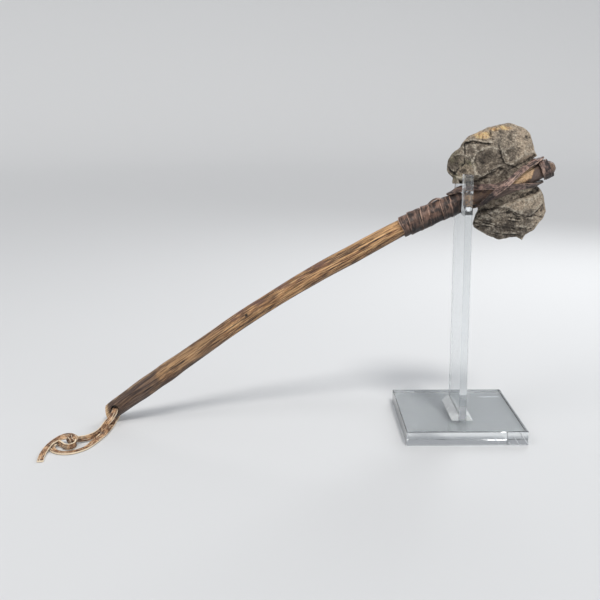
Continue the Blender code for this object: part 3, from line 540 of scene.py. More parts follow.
def hermite(table, x):
    """A smooth value at x through a table of (x, value), with straight run-outs past its ends."""
    last = len(table) - 2
    k = next((i for i in range(last) if x < table[i + 1][0]), last)

    def slope(i):
        low = max(i - 1, 0)
        high = min(i + 1, len(table) - 1)
        return (table[high][1] - table[low][1]) / (table[high][0] - table[low][0])

    (x0, v0), (x1, v1) = table[k], table[k + 1]
    span = x1 - x0
    u = min(max((x - x0) / span, 0.0), 1.0)
    smooth = (
        v0 * (1 + 2 * u) * (1 - u) ** 2
        + slope(k) * span * u * (1 - u) ** 2
        + v1 * u * u * (3 - 2 * u)
        - slope(k + 1) * span * u * u * (1 - u)
    )
    if x < x0:
        return smooth + slope(k) * (x - x0)
    if x > x1:
        return smooth + slope(k + 1) * (x - x1)
    return smooth


# The haft's tables, worked out every quarter of a millimetre
FINE_X = np.linspace(-0.45, 0.15, 2401)
FINE_AXIS, FINE_RADIUS, FINE_COLLAR = (
    np.array([hermite(table, x) for x in FINE_X]) for table in (HAFT_AXIS, HAFT_RADIUS, COLLAR_RADIUS)
)
WIDEST = FINE_RADIUS.max()
YAW = np.array(Matrix.Rotation(AXE_YAW, 3, "Z"))


def along_haft(fine):
    """A function of the haft's x that looks its value up in a fine table."""
    return lambda x: np.interp(x, FINE_X, fine)


axis_height = along_haft(FINE_AXIS)
axis_angle = along_haft(np.arctan(np.gradient(FINE_AXIS, FINE_X)))
haft_radius = along_haft(FINE_RADIUS)
collar_radius = along_haft(FINE_COLLAR)


def yawed(points):
    """Turns points of the axe, rows of x, y, z, to the small yaw at which it lies in its stand."""
    return np.asarray(points, float) @ YAW.T


def unyawed(points):
    return np.asarray(points, float) @ YAW


def haft_points(x, t, y):
    """World places of haft coordinates: t stands square to the axis in the plane of the axe."""
    x, t, y = np.broadcast_arrays(x, t, y)
    angle = axis_angle(x)
    rows = np.stack([x - t * np.sin(angle), y, axis_height(x) + t * np.cos(angle)], axis=-1)
    return yawed(rows)


def height_over_axis(x, z):
    """The height of points over the haft's axis, and the x where each one's square meets the axis."""
    foot = np.array(x, float)
    for _ in range(4):
        angle = axis_angle(foot)
        foot = x + (z - axis_height(foot)) * np.sin(angle) * np.cos(angle)
    angle = axis_angle(foot)
    return (z - axis_height(foot)) * np.cos(angle) - (x - foot) * np.sin(angle), foot


def fork_share(x):
    """How far along the fork a place is, from 0 to 1."""
    return np.clip((x - FORK_START) / (FORK_END - FORK_START), 0.0, 1.0)


def fork_half(x):
    """Half the space between the two prongs."""
    return FORK_SPREAD * np.sin(np.pi * fork_share(x)) ** FORK_POWER


def prong_depth(x):
    return haft_radius(x) * (1.0 - (1.0 - PRONG_THINNING) * np.sin(np.pi * fork_share(x) * 0.5))


def girth(x, turn, offset):
    """Places round the haft, offset from its skin. A turn of 0 is the front, a quarter is the top."""
    facing = np.where(np.abs(np.cos(turn)) > 1e-6, np.sign(np.cos(turn)), 0.0)
    t = (haft_radius(x) + offset) * np.sin(turn)
    y = -(facing * fork_half(x) + (prong_depth(x) + offset) * np.cos(turn))
    return t, y


def turned_from(turn, middle):
    """Degrees from a middle turn, from -180 to 180."""
    return (turn - middle + 180.0) % 360.0 - 180.0


def smooth_step(value, low, high):
    u = np.clip((value - low) / (high - low), 0.0, 1.0)
    return u * u * (3 - 2 * u)


def lattice(corner, seed):
    """A fixed value from 0 to 1 for each whole-numbered corner."""
    x, y, z = (corner[..., k].astype(np.int64) for k in range(3))
    h = (x * 374761393 + y * 668265263 + z * 2147483647 + seed * 1274126177) & 0xFFFFFFFF
    h = ((h ^ (h >> 13)) * 1274126177) & 0xFFFFFFFF
    h = ((h ^ (h >> 16)) * 668265263) & 0xFFFFFFFF
    return ((h ^ (h >> 15)) & 0xFFFFFF) / 0xFFFFFF


def unevenness(points, size, seed, octaves):
    """Smooth scattered values from -1 to 1 at points, with bumps of about the given size."""
    total = np.zeros(points.shape[:-1])
    strength = 1.0
    whole = 0.0
    for octave in range(octaves):
        p = points / size
        low = np.floor(p)
        f = p - low
        f = f * f * (3 - 2 * f)
        for corner in np.ndindex(2, 2, 2):
            weight = np.prod(np.where(np.array(corner) == 1, f, 1 - f), axis=-1)
            total += strength * weight * (2 * lattice(low + corner, seed + octave) - 1)
        whole += strength
        strength *= 0.5
        size = size / 2
    return total / whole


def pitted(points, *layers):
    """Depth below a plain skin, in layers of half depth, size of the pits, seed and octaves."""
    return sum(half * (1 + unevenness(points, *pits)) for half, *pits in layers)


def nearest_hollow(points, size, seed, depth):
    """Least of bowls round scattered points, as knapped stone has: squared distance plus own level."""
    p = points / size
    home = np.floor(p)
    least = np.full(points.shape[:-1], np.inf)
    for step in np.ndindex(3, 3, 3):
        cell = home + np.array(step) - 1
        spot = cell + np.stack([lattice(cell, seed + k) for k in range(3)], axis=-1)
        level = depth * lattice(cell, seed + 7)
        least = np.minimum(least, ((spot - p) ** 2).sum(axis=-1) + level)
    return least


def line_distance(x, z, line):
    """Distance of points to a broken line, and how far they lie below it."""
    nearest = np.full(np.shape(x), np.inf)
    below = np.zeros(np.shape(x))
    for (x0, z0), (x1, z1) in zip(line, line[1:]):
        dx, dz = x1 - x0, z1 - z0
        span = dx * dx + dz * dz
        u = np.clip(((x - x0) * dx + (z - z0) * dz) / span, 0.0, 1.0)
        away = np.hypot(x - x0 - u * dx, z - z0 - u * dz)
        side = ((x - x0) * dz - (z - z0) * dx) / math.sqrt(span)
        below = np.where(away < nearest, side, below)
        nearest = np.minimum(nearest, away)
    return nearest, below


def in_plane(x, z, y=0.0):
    """Rows of points in the plane of the axe, or beside it."""
    return np.stack([x, np.full_like(x, y), z], axis=-1)


def wandering(flat, sway, size, seeds):
    """The x and z of points in the plane, strayed so that what is drawn there wanders."""
    return [flat[..., k] + sway * unevenness(flat, size, seed, 3) for k, seed in zip((0, 2), seeds)]


def lengths_along(points):
    """Length of a broken line up to each of its points."""
    return np.concatenate([[0.0], np.cumsum(np.linalg.norm(np.diff(points, axis=0), axis=1))])


def unit(rows):
    return rows / np.linalg.norm(rows, axis=1)[:, None]


def linked(name, data):
    obj = bpy.data.objects.new(name, data)
    bpy.context.scene.collection.objects.link(obj)
    return obj


def mesh_object(name, points, faces, edges=()):
    data = bpy.data.meshes.new(name)
    data.from_pydata(np.asarray(points, float).tolist(), edges, [tuple(f) for f in faces])
    data.update()
    return linked(name, data)


def ring_faces(index, close_round=False):
    """Four-sided faces between rings of point numbers, rows by points."""
    low = index if close_round else index[:-1]
    high = np.roll(index, -1, axis=0) if close_round else index[1:]
    quads = np.stack([low, np.roll(low, -1, axis=1), np.roll(high, -1, axis=1), high], axis=-1)
    return quads.reshape(-1, 4).tolist()


def lofted(name, rows, close_ends=True, close_round=False):
    """A mesh over an array of rings, rows by points by 3, with normals out."""
    index = np.arange(rows.shape[0] * rows.shape[1]).reshape(rows.shape[:2])
    faces = ring_faces(index, close_round)
    if close_ends and not close_round:
        faces += [index[0].tolist(), index[-1].tolist()]
    obj = mesh_object(name, rows.reshape(-1, 3), faces)
    face_out(obj)
    return obj


def face_out(obj, merge=0.0):
    """Turns the faces outwards, after merging points that are closer than the given distance."""
    mesh = bmesh.new()
    mesh.from_mesh(obj.data)
    if merge:
        bmesh.ops.remove_doubles(mesh, verts=mesh.verts, dist=merge)
    bmesh.ops.recalc_face_normals(mesh, faces=mesh.faces)
    mesh.to_mesh(obj.data)
    mesh.free()


def shade(obj, angle):
    """Smooth shading, with a sharp edge wherever faces meet at more than the angle in degrees."""
    obj.data.shade_smooth()
    obj.data.set_sharp_from_angle(angle=math.radians(angle))
    return obj


def coat(obj, finish):
    obj.data.materials.clear()
    obj.data.materials.append(finish)
    return obj


def note(obj, name, values):
    """Stores one value, or one vector, for each vertex under a name that a finish reads."""
    values = np.asarray(values, float)
    kind, key = ("FLOAT_VECTOR", "vector") if values.ndim > 1 else ("FLOAT", "value")
    obj.data.attributes.new(name, kind, "POINT").data.foreach_set(key, values.reshape(-1))


def vertex_places(obj):
    places = np.zeros(len(obj.data.vertices) * 3)
    obj.data.vertices.foreach_get("co", places)
    return places.reshape(-1, 3)


def haft_places(obj):
    """A piece's vertices before the yaw, their height over the haft's axis and their x along it."""
    places = unyawed(vertex_places(obj))
    return places, *height_over_axis(places[:, 0], places[:, 2])


def bake(obj):
    """Turns the object's modifiers into plain mesh."""
    graph = bpy.context.evaluated_depsgraph_get()
    made = bpy.data.meshes.new_from_object(obj.evaluated_get(graph))
    obj.modifiers.clear()
    obj.data = made


def cut(obj, cutter):
    """Takes the cutter's shape out of the object, and the cutter out of the scene."""
    away = obj.modifiers.new("cut", "BOOLEAN")
    away.operation = "DIFFERENCE"
    away.object = cutter
    bake(obj)
    bpy.data.objects.remove(cutter, do_unlink=True)


def joined(name, parts):
    """One mesh object from several, with their attributes kept."""
    bpy.ops.object.select_all(action="DESELECT")
    for part in parts:
        part.select_set(True)
    bpy.context.view_layer.objects.active = parts[0]
    bpy.ops.object.join()
    parts[0].name = name
    parts[0].data.name = name
    return parts[0]


def catmull(points, closed, steps):
    """A smooth line of rows through the given ones."""
    points = np.asarray(points, float)
    count = len(points)
    line = []
    for k in range(count if closed else count - 1):
        picks = [p % count if closed else min(max(p, 0), count - 1) for p in range(k - 1, k + 3)]
        a, b, c, d = points[picks]
        for j in range(steps):
            u = j / steps
            line.append(
                0.5 * (2 * b + (c - a) * u + (2 * a - 5 * b + 4 * c - d) * u**2
                       + (3 * b - a - 3 * c + d) * u**3)
            )
    if not closed:
        line.append(points[-1])
    return np.array(line)


def strip(name, stations, width, thickness, closed, steps, seed, cupping=0.0, ripple=0.0):
    """A cut strip of hide along smoothed stations of (place, way its face looks)."""
    middles = catmull([place for place, _ in stations], closed, steps)
    faces = catmull([Vector(face).normalized() for _, face in stations], closed, steps)
    after = np.roll(middles, -1, axis=0)
    before = np.roll(middles, 1, axis=0)
    if not closed:
        after[-1] = middles[-1]
        before[0] = middles[0]
    along = unit(after - before)
    across = unit(np.cross(along, faces))
    out = np.cross(across, along)
    length = lengths_along(middles)
    path = np.stack([length, 0 * length, 0 * length], axis=-1)
    trim = 1.0 - pitted(path, (*STRIP_TRIM, seed, 2))
    left, right = (trim * (1 - pitted(path, (*STRIP_NICKS, seed + k, 2))) for k in (5, 9))
    section_share, section_rise, section_edge = STRIP_SECTION.T
    share = section_share * np.where(section_share < 0, left[:, None], right[:, None])
    rise = np.broadcast_to(section_rise * thickness * STRIP_FULLNESS, share.shape)
    wave = unevenness(path, STRIP_RIPPLE, seed + 3, 2)[:, None] * ripple
    lift = wave - cupping * (2 * share) ** 2
    rows = middles[:, None] + across[:, None] * (share * width)[..., None]
    rows = rows + out[:, None] * (rise + lift)[..., None]
    obj = lofted(name, rows, close_round=closed)
    flow = np.stack([np.broadcast_to(length[:, None], share.shape), share * width, rise], axis=-1)
    note(obj, "flow", flow.reshape(-1, 3))
    edge = np.tile(section_edge, (len(middles), 1))
    if not closed:
        edge[[0, -1]] = 1.0
    note(obj, "edge", edge.reshape(-1))
    return shade(obj, HIDE_CREASE)


class Nodes:
    """A node tree, with short ways to lay its nodes."""

    easing = "LINEAR"

    def add(self, kind, inputs=(), **settings):
        made = self.tree.nodes.new(kind)
        for name, value in settings.items():
            setattr(made, name, value)
        for name, value in dict(inputs).items():
            self.feed(made.inputs[name], value)
        return made

    def made(self, kind, inputs=(), **settings):
        """The first output of a new node."""
        return self.add(kind, inputs, **settings).outputs[0]

    def feed(self, socket, value):
        if isinstance(value, bpy.types.NodeSocket):
            self.tree.links.new(value, socket)
        else:
            socket.default_value = value

    def maths(self, operation, first, second=0.0):
        return self.made("ShaderNodeMath", {0: first, 1: second}, operation=operation)

    def plus(self, first, second):
        return self.maths("ADD", first, second)

    def less(self, first, second):
        return self.maths("SUBTRACT", first, second)

    def times(self, first, *others):
        for other in others:
            first = self.maths("MULTIPLY", first, other)
        return first

    def span(self, value, low, high, start=0.0, end=1.0):
        """Start where a value is at low, end where it is at high, and between them in between."""
        inputs = {"Value": value, "From Min": low, "From Max": high, "To Min": start, "To Max": end}
        return self.made("ShaderNodeMapRange", inputs, interpolation_type=self.easing)


class Growth(Nodes):
    """One Geometry Nodes tree. It ends in a material, with all instances real."""

    def __init__(self, name, sizes):
        self.tree = bpy.data.node_groups.new(name, "GeometryNodeTree")
        self.sockets = {}
        for label, kind in {"Geometry": "Geometry", **sizes}.items():
            self.sockets[label] = self.socket(label, "INPUT", kind).identifier
        self.socket("Geometry", "OUTPUT", "Geometry")
        self.given = self.tree.nodes.new("NodeGroupInput").outputs

    def socket(self, label, side, kind):
        return self.tree.interface.new_socket(label, in_out=side, socket_type="NodeSocket" + kind)

    def vector(self, operation, first, second):
        return self.made("ShaderNodeVectorMath", {0: first, 1: second}, operation=operation)

    def scaled(self, vector, scale):
        return self.made("ShaderNodeVectorMath", {0: vector, "Scale": scale}, operation="SCALE")

    def packed(self, x, y, z=0.0):
        return self.made("ShaderNodeCombineXYZ", {"X": x, "Y": y, "Z": z})

    def noted(self, name, kind="FLOAT_VECTOR"):
        return self.made("GeometryNodeInputNamedAttribute", {"Name": name}, data_type=kind)

    def noting(self, geometry, name, value, kind="FLOAT_VECTOR"):
        inputs = {"Geometry": geometry, "Name": name, "Value": value}
        return self.made("GeometryNodeStoreNamedAttribute", inputs, data_type=kind)

    def moved(self, geometry, **inputs):
        return self.made("GeometryNodeSetPosition", {"Geometry": geometry, **inputs})

    def noise(self, vector, scale, detail):
        inputs = {"Vector": vector, "Scale": scale, "Detail": detail}
        return self.less(self.made("ShaderNodeTexNoise", inputs), 0.5)

    def finish(self, geometry, material):
        real = self.made("GeometryNodeRealizeInstances", {"Geometry": geometry})
        coated = self.made("GeometryNodeSetMaterial", {"Geometry": real, "Material": material})
        self.tree.links.new(coated, self.tree.nodes.new("NodeGroupOutput").inputs[0])

    def grow(self, obj, values):
        """Runs the tree on the object and leaves it a plain mesh."""
        run = obj.modifiers.new(self.tree.name, "NODES")
        run.node_group = self.tree
        for label, value in values.items():
            run[self.sockets[label]] = value
        bake(obj)


def winding_growth():
    """A strip of hide wound round a line: it advances turn by turn and laps over the turn before."""
    sizes = dict.fromkeys(("Turns", "Steps per Turn", *COLLAR_WINDING), "Float")
    wind = Growth("wound_hide", {**sizes, "Section": "Object", "Finish": "Material"})
    given = wind.given
    turns, ends, lap, width, seed = (
        given[label] for label in ("Turns", "End Turns", "Lap", "Strip Width", "Seed")
    )
    line = wind.made("GeometryNodeMeshToCurve", {"Mesh": given["Geometry"]})
    line = wind.made("GeometryNodeSetCurveNormal", {"Curve": line}, mode="Z_UP")
    length = wind.made("GeometryNodeCurveLength", {"Curve": line})
    points = wind.plus(wind.times(turns, given["Steps per Turn"]), 1.0)
    thread = wind.made("GeometryNodeCurvePrimitiveLine", {"End": (1.0, 0.0, 0.0)})
    thread = wind.made("GeometryNodeResampleCurve", {"Curve": thread, "Count": points})
    wound = wind.times(wind.made("GeometryNodeSplineParameter"), turns)
    last = wind.less(turns, ends)
    half = wind.maths("DIVIDE", wind.times(width, 0.5), length)
    share = wind.span(wound, ends, last, half, wind.less(1.0, half))
    sampled = {"Curves": line, "Value": wind.noted("reach", "FLOAT"), "Factor": share}
    under = wind.add("GeometryNodeSampleCurve", sampled, mode="FACTOR", data_type="FLOAT").outputs
    angle = wind.plus(wind.times(wound, -math.tau), given["Start Turn"])
    side = wind.vector("CROSS_PRODUCT", under["Tangent"], under["Normal"])
    up = wind.scaled(under["Normal"], wind.maths("COSINE", angle))
    out = wind.vector("ADD", up, wind.scaled(side, wind.maths("SINE", angle)))
    # The first turn lies deeper and the last one higher, where both are made on the spot
    first_rise = wind.span(wound, 0.0, ends, wind.times(lap, -END_RISE), 0.0)
    last_rise = wind.span(wound, last, turns, 0.0, wind.times(lap, END_RISE))
    reach = wind.less(under["Value"], wind.times(given["Strip Thickness"], 0.5))
    reach = wind.plus(reach, wind.plus(first_rise, last_rise))
    place = wind.vector("ADD", under["Position"], wind.scaled(out, reach))
    thread = wind.noting(thread, "wound", wound, "FLOAT")
    for name, value in (("out", out), ("forward", under["Tangent"]), ("place", place)):
        thread = wind.noting(thread, name, value)
    thread = wind.moved(thread, Position=wind.noted("place"))
    facing = {"Curve": thread, "Normal": wind.noted("out")}
    thread = wind.made("GeometryNodeSetCurveNormal", facing, mode="FREE")
    section = wind.add("GeometryNodeObjectInfo", {"Object": given["Section"]}).outputs["Geometry"]
    section = wind.made("GeometryNodeMeshToCurve", {"Mesh": section})
    swept = {"Curve": thread, "Profile Curve": section, "Fill Caps": True}
    hide = wind.made("GeometryNodeCurveToMesh", swept)
    # The hide tilts into its lap, crumples, strays at its edge and slips along the line
    wound, across, rise = (wind.noted(name, "FLOAT") for name in ("wound", "across", "rise"))
    tilt = wind.times(across, wind.times(lap, -1.0))
    spot = wind.vector("ADD", wind.made("GeometryNodeInputPosition"), seed)
    crumple = wind.noise(spot, wind.maths("DIVIDE", 1.0, given["Crumple Size"]), 3.0)
    lift = wind.plus(tilt, wind.times(crumple, 2.0, given["Crumple"]))
    hide = wind.moved(hide, Offset=wind.scaled(wind.noted("out"), lift))
    along = wind.plus(wound, seed)
    ragged = wind.noise(wind.packed(along, seed), STRAYS_PER_TURN, 4.0)
    stray = wind.times(ragged, given["Ragged Edge"], wind.span(across, -0.15, -0.5))
    swing = wind.maths("SINE", wind.times(along, SLIP_PER_TURN))
    start_fade = wind.span(wound, ends, wind.plus(ends, SLIP_FADE))
    end_fade = wind.span(wound, last, wind.less(last, SLIP_FADE))
    slip = wind.times(swing, given["Uneven Pitch"], wind.times(start_fade, end_fade))
    shift = wind.plus(wind.times(stray, 2.0), slip)
    hide = wind.moved(hide, Offset=wind.scaled(wind.noted("forward"), shift))
    flow = wind.packed(wind.times(wound, LENGTH_PER_TURN), wind.times(across, width), rise)
    wind.finish(wind.noting(hide, "flow", flow), given["Finish"])
    return wind


def wound_strip(growth, name, start, end, reach, pitch, sizes, finish):
    """Runs the winding along the haft from start to end, over the reach given for each place."""
    x = np.linspace(start, end, LINE_POINTS)
    line = haft_points(x, 0 * x, 0 * x)
    winding = mesh_object(name, line, (), [(k, k + 1) for k in range(LINE_POINTS - 1)])
    note(winding, "reach", reach(x))
    across, rise, edge = STRIP_SECTION.T
    rise = rise * sizes["Strip Thickness"]
    outline = np.stack([rise, across * sizes["Strip Width"], 0 * across], axis=-1)
    count = len(outline)
    section = mesh_object(name + "_section", outline, (), [(k, (k + 1) % count) for k in range(count)])
    for label, values in (("across", across), ("rise", rise), ("edge", edge * (across < 0))):
        note(section, label, values)
    run = (end - start - sizes["Strip Width"]) / pitch
    growth.grow(winding, {
        "Turns": run + 2 * sizes["End Turns"], "Steps per Turn": WINDING_STEPS, "Section": section,
        "Finish": finish, **sizes,
    })
    bpy.data.objects.remove(section, do_unlink=True)
    for spare in ("wound", "out", "forward", "place", "reach", "across", "rise"):
        if spare in winding.data.attributes:
            winding.data.attributes.remove(winding.data.attributes[spare])
    face_out(winding)
    return shade(winding, HIDE_CREASE)


# Finishes


class Finish(Nodes):
    """One material, with sizes in metres."""

    easing = "SMOOTHSTEP"

    def __init__(self, name):
        self.material = bpy.data.materials.new(name)
        self.material.use_nodes = True
        self.tree = self.material.node_tree
        self.shader = self.tree.nodes["Principled BSDF"]
        self.place = self.add("ShaderNodeTexCoord").outputs["Object"]

    def noted(self, name, output="Fac"):
        return self.add("ShaderNodeAttribute", attribute_name=name).outputs[output]

    def noise(self, size, detail, rough, vector=None, bend=0.0):
        return self.made("ShaderNodeTexNoise", {
            "Vector": vector or self.place, "Scale": 1 / size, "Detail": detail, "Roughness": rough,
            "Distortion": bend,
        })

    def drawn_out(self, vector, scale, detail, rough, bend=0.0):
        """Noise on a vector scaled by waves per metre along each of its axes."""
        stretched = self.made("ShaderNodeMapping", {"Vector": vector, "Scale": scale})
        return self.noise(1.0, detail, rough, stretched, bend)

    def cells(self, size, vector=None):
        return self.made("ShaderNodeTexVoronoi", {"Vector": vector or self.place, "Scale": 1 / size})

    def ramp(self, factor, stops):
        made = self.add("ShaderNodeValToRGB", {"Fac": factor})
        elements = made.color_ramp.elements
        for _ in range(len(stops) - 2):
            elements.new(0.5)
        for element, (place, colour) in zip(elements, stops):
            element.position = place
            element.color = colour
        return made.outputs["Color"]

    def mix(self, factor, low, high, how="MIX"):
        sockets = {0: factor, 6: low, 7: high}
        return self.add("ShaderNodeMix", sockets, data_type="RGBA", blend_type=how).outputs[2]

    def mottled(self, colour, strength, pattern, dark, light):
        """Darkens and lightens a colour by a pattern, from one grey to another."""
        stops = ((0.34, dark), (0.50, 0.5), (0.66, light))
        greys = self.ramp(pattern, [(place, (grey, grey, grey, 1.0)) for place, grey in stops])
        return self.mix(strength, colour, greys, "OVERLAY")

    def stained(self, colour, stains):
        """Mixes tints into a colour, each by the product of its notes, spans and plain shares."""
        for tint, *parts in stains:
            shares = []
            for part in parts:
                if isinstance(part, str):
                    part = self.noted(part)
                shares.append(self.span(*part) if isinstance(part, tuple) else part)
            colour = self.mix(self.times(*shares), colour, tint)
        return colour

    def bump(self, height, depth, under=None, strength=1.0):
        inputs = {"Height": height, "Distance": depth, "Strength": strength}
        if under is not None:
            inputs["Normal"] = under
        return self.made("ShaderNodeBump", inputs)

    def set(self, **sockets):
        for name, value in sockets.items():
            self.feed(self.shader.inputs[name.replace("_", " ")], value)
        return self.material


def chipped_stone_finish():
    """Grey-brown stone with a weathered skin, dark in its cracks, pale along its worn edges and with
    painted shade in its hollows.
    """
    stone = Finish("chipped_stone")
    broad = stone.noise(0.030, 5.0, 0.62, bend=0.6)
    patch = stone.noise(0.0100, 6.0, 0.70, bend=0.4)
    mottle = stone.noise(0.0036, 4.0, 0.72)
    grain = stone.noise(0.0015, 3.0, 0.75)
    colour = stone.ramp(broad, [
        (0.32, tone(100, 94, 86)), (0.44, tone(132, 121, 106)), (0.55, tone(162, 147, 128)),
        (0.68, tone(126, 117, 106)),
    ])
    patched = stone.ramp(patch, [
        (0.34, tone(54, 49, 45)), (0.45, tone(110, 100, 90)), (0.56, tone(156, 144, 128)),
        (0.68, tone(206, 194, 176)),
    ])
    colour = stone.stained(stone.mix(0.55, colour, patched), [
        (tone(122, 122, 88), "moss", (mottle, 0.38, 0.62), 0.60),
        (tone(192, 174, 152), "pale", (patch, 0.34, 0.50, 0.35, 1.0), 0.72),
        # The dark tint is partly painted shade, low on the lower lobe
        (tone(70, 61, 52), "dark", (patch, 0.64, 0.42, 0.4, 1.0), 0.62),
        (tone(230, 190, 134), "ochre", (mottle, 0.34, 0.50, 0.25, 1.0), 0.85),
    ])
    colour = stone.mottled(colour, 0.75, mottle, 0.24, 0.78)
    colour = stone.mottled(colour, 0.80, grain, 0.18, 0.84)
    relief = stone.noted("relief")
    colour = stone.stained(colour, [
        # Painted shade: hollows that lie below their surroundings are darkened. The proud ridges are
        # paled as worn edges
        (tone(36, 30, 25), (relief, 0.0, -0.75), (mottle, 0.66, 0.40, 0.45, 0.95)),
        (tone(222, 212, 194), (relief, 0.12, 0.80), (mottle, 0.40, 0.60, 0.10, 0.75)),
        (tone(26, 21, 17), "crack", (patch, 0.62, 0.40, 0.45, 0.95)),
    ])
    normal = stone.bump(stone.cells(0.0013), 0.00030, strength=0.7)
    normal = stone.bump(mottle, 0.0024, stone.bump(grain, 0.0014, normal))
    return stone.set(
        Base_Color=colour, Roughness=stone.span(grain, 0.3, 0.7, 0.70, 0.92), Normal=normal
    )


def haft_wood_finish():
    """Old handled wood: long dark streaks and pale worn ridges along the grain."""
    wood = Finish("haft_wood")
    flow = wood.noted("flow", "Vector")
    streak = wood.drawn_out(flow, (36.0, 620.0, 620.0), 5.0, 0.62, 0.4)
    fine = wood.drawn_out(flow, (80.0, 1300.0, 1300.0), 3.0, 0.6)
    broad = wood.drawn_out(flow, (16.0, 150.0, 150.0), 4.0, 0.6, 0.5)
    bands = wood.drawn_out(flow, (15.0, 330.0, 330.0), 3.0, 0.55, 0.3)
    colour = wood.ramp(streak, [
        (0.37, tone(40, 24, 15)), (0.45, tone(124, 86, 54)), (0.53, tone(186, 137, 90)),
        (0.61, tone(242, 198, 144)),
    ])
    stain = wood.ramp(broad, [
        (0.38, tone(76, 50, 40)), (0.47, tone(146, 104, 70)), (0.58, tone(222, 176, 120)),
    ])
    handled = wood.ramp(streak, [
        (0.36, tone(34, 25, 21)), (0.50, tone(70, 54, 47)), (0.64, tone(108, 88, 77)),
    ])
    colour = wood.stained(wood.mix(0.34, colour, stain), [
        (tone(56, 37, 28), (bands, 0.44, 0.37, 0.0, 0.80)),
        (tone(40, 24, 16), (fine, 0.48, 0.39, 0.0, 0.90)),
        (tone(238, 194, 144), (fine, 0.55, 0.66, 0.0, 0.60)),
        (tone(226, 180, 128), (bands, 0.54, 0.64, 0.0, 0.60)),
        (tone(106, 76, 68), "rubbed", (streak, 0.68, 0.42, 0.55, 1.0)),
        (handled, "handled", (broad, 0.62, 0.38, 0.80, 1.0)),
        (tone(66, 40, 26), "knot"),
        # Painted shade under the haft and by the straps; the worn tint also paints a highlight along
        # the crown, the grey a shade on the prong, and the hole tint shade in the holes
        (tone(46, 34, 30), "shaded", (streak, 0.66, 0.44, 0.75, 1.0)),
        (tone(220, 186, 146), "worn", (streak, 0.38, 0.56, 0.40, 1.0)),
        (tone(98, 82, 76), "greyed"),
        (tone(16, 11, 8), "hole"),
    ])
    normal = wood.bump(wood.plus(streak, wood.times(fine, 0.6)), 0.0014)
    return wood.set(
        Base_Color=colour, Roughness=wood.span(streak, 0.3, 0.7, 0.60, 0.40), Normal=normal
    )


def hide_finish(name, tones, edge_share, gloss, patch, scraped):
    """Old hide: mottled along its flow, cracked across it, with pale worn edges."""
    dark, middle, light, worn = (tone(*colour) for colour in tones)
    hide = Finish(name)
    flow = hide.noted("flow", "Vector")
    mottle = hide.noise(patch, 5.0, 0.0024 / patch, flow, 0.6)
    broad = hide.noise(0.0140, 3.0, 0.5, flow, 0.4)
    breaks = hide.noise(0.0030, 4.0, 0.6, flow)
    fibre = hide.drawn_out(flow, (260.0, 1500.0, 1500.0), 4.0, 0.6)
    scrape = hide.drawn_out(flow, (55.0, 1250.0, 1250.0), 3.0, 0.55, 0.2)
    colour = hide.ramp(mottle, [(0.39, dark), (0.50, middle), (0.61, light)])
    colour = hide.stained(colour, [
        (light, (broad, 0.52, 0.64, 0.0, 0.30)),
        (dark, (broad, 0.48, 0.36, 0.0, 0.65)),
        (light, (fibre, 0.56, 0.72, 0.0, 0.35)),
        (dark, (fibre, 0.42, 0.30, 0.0, 0.6)),
        (worn, (scrape, 0.56, 0.64, 0.0, scraped)),
        (dark, (scrape, 0.45, 0.37, 0.0, scraped)),
        (worn, "edge", (breaks, edge_share + 0.10, edge_share - 0.06)),
        # Painted shade on undersides and where the straps run into shadow, with a plain darkening all
        # along on some parts
        (dark, "grime", 0.80),
    ])
    height = hide.plus(mottle, hide.plus(hide.times(fibre, 0.5), scrape))
    normal = hide.bump(hide.cells(0.00085, flow), 0.00018, strength=0.7)
    normal = hide.bump(height, 0.0007, normal)
    return hide.set(
        Base_Color=colour, Roughness=hide.span(mottle, 0.3, 0.7, gloss + 0.18, gloss), Normal=normal
    )


def clear_acrylic_finish(name, clarity, scuffing):
    """Clear acrylic, scuffed by cleaning. Where it is cemented, less light comes through."""
    acrylic = Finish(name)
    scuffs = acrylic.drawn_out(acrylic.place, (45.0, 900.0, 45.0), 3.0, 0.7, 1.2)
    haze = acrylic.span(scuffs, 0.58, 0.76, scuffing, scuffing + 0.22)
    return acrylic.set(
        Base_Color=tone(247, 250, 251), Roughness=haze, IOR=ACRYLIC_IOR, Transmission_Weight=clarity
    )


# Pieces


def knot_nearness(x, turn, radius, knot, drawn_out, fall):
    """How near places on the haft are to the middle of a knot, where this is 1."""
    knot_x, knot_turn, reach, _ = knot
    off = np.radians(turned_from(turn, knot_turn)) * radius
    away = np.hypot((x - knot_x) * drawn_out, off) / reach
    return np.exp(-((away * fall) ** 2))


def haft_relief(x, turn):
    """How far the wood lies below its plain round. Its knots stand up again towards that round."""
    radius = haft_radius(x)
    across = (radius * np.cos(turn), radius * np.sin(turn))
    skin = np.stack([x / HOLLOW_STRETCH, *across], axis=-1)
    depth = pitted(np.stack([x / GRAIN_STRETCH, *across], axis=-1), GRAIN_RIDGES)
    depth += pitted(skin, HAFT_HOLLOWS)
    past = np.maximum(x - KNOB_START, 0.0) / (TIP_X - KNOB_START)
    depth += KNOB_ROUNDING * past**3 + past * pitted(skin, KNOB_WEAR)
    for first, last, start, end, deep in HAFT_CHECKS:
        share = (x - first) / (last - first)
        inside = smooth_step(share, 0.0, CHECK_FADE) * smooth_step(share, 1.0, 1.0 - CHECK_FADE)
        lean = start + (end - start) * share + CHECK_SWAY * np.sin(x * CHECK_WAVES)
        off = np.radians(turned_from(np.degrees(turn), lean)) * radius
        depth += deep * inside * np.exp(-((off / CHECK_HALF) ** 2))
    for knot in HAFT_KNOTS:
        depth -= knot[-1] * knot_nearness(x, np.degrees(turn), radius, knot, *KNOT_FORM)
    return depth


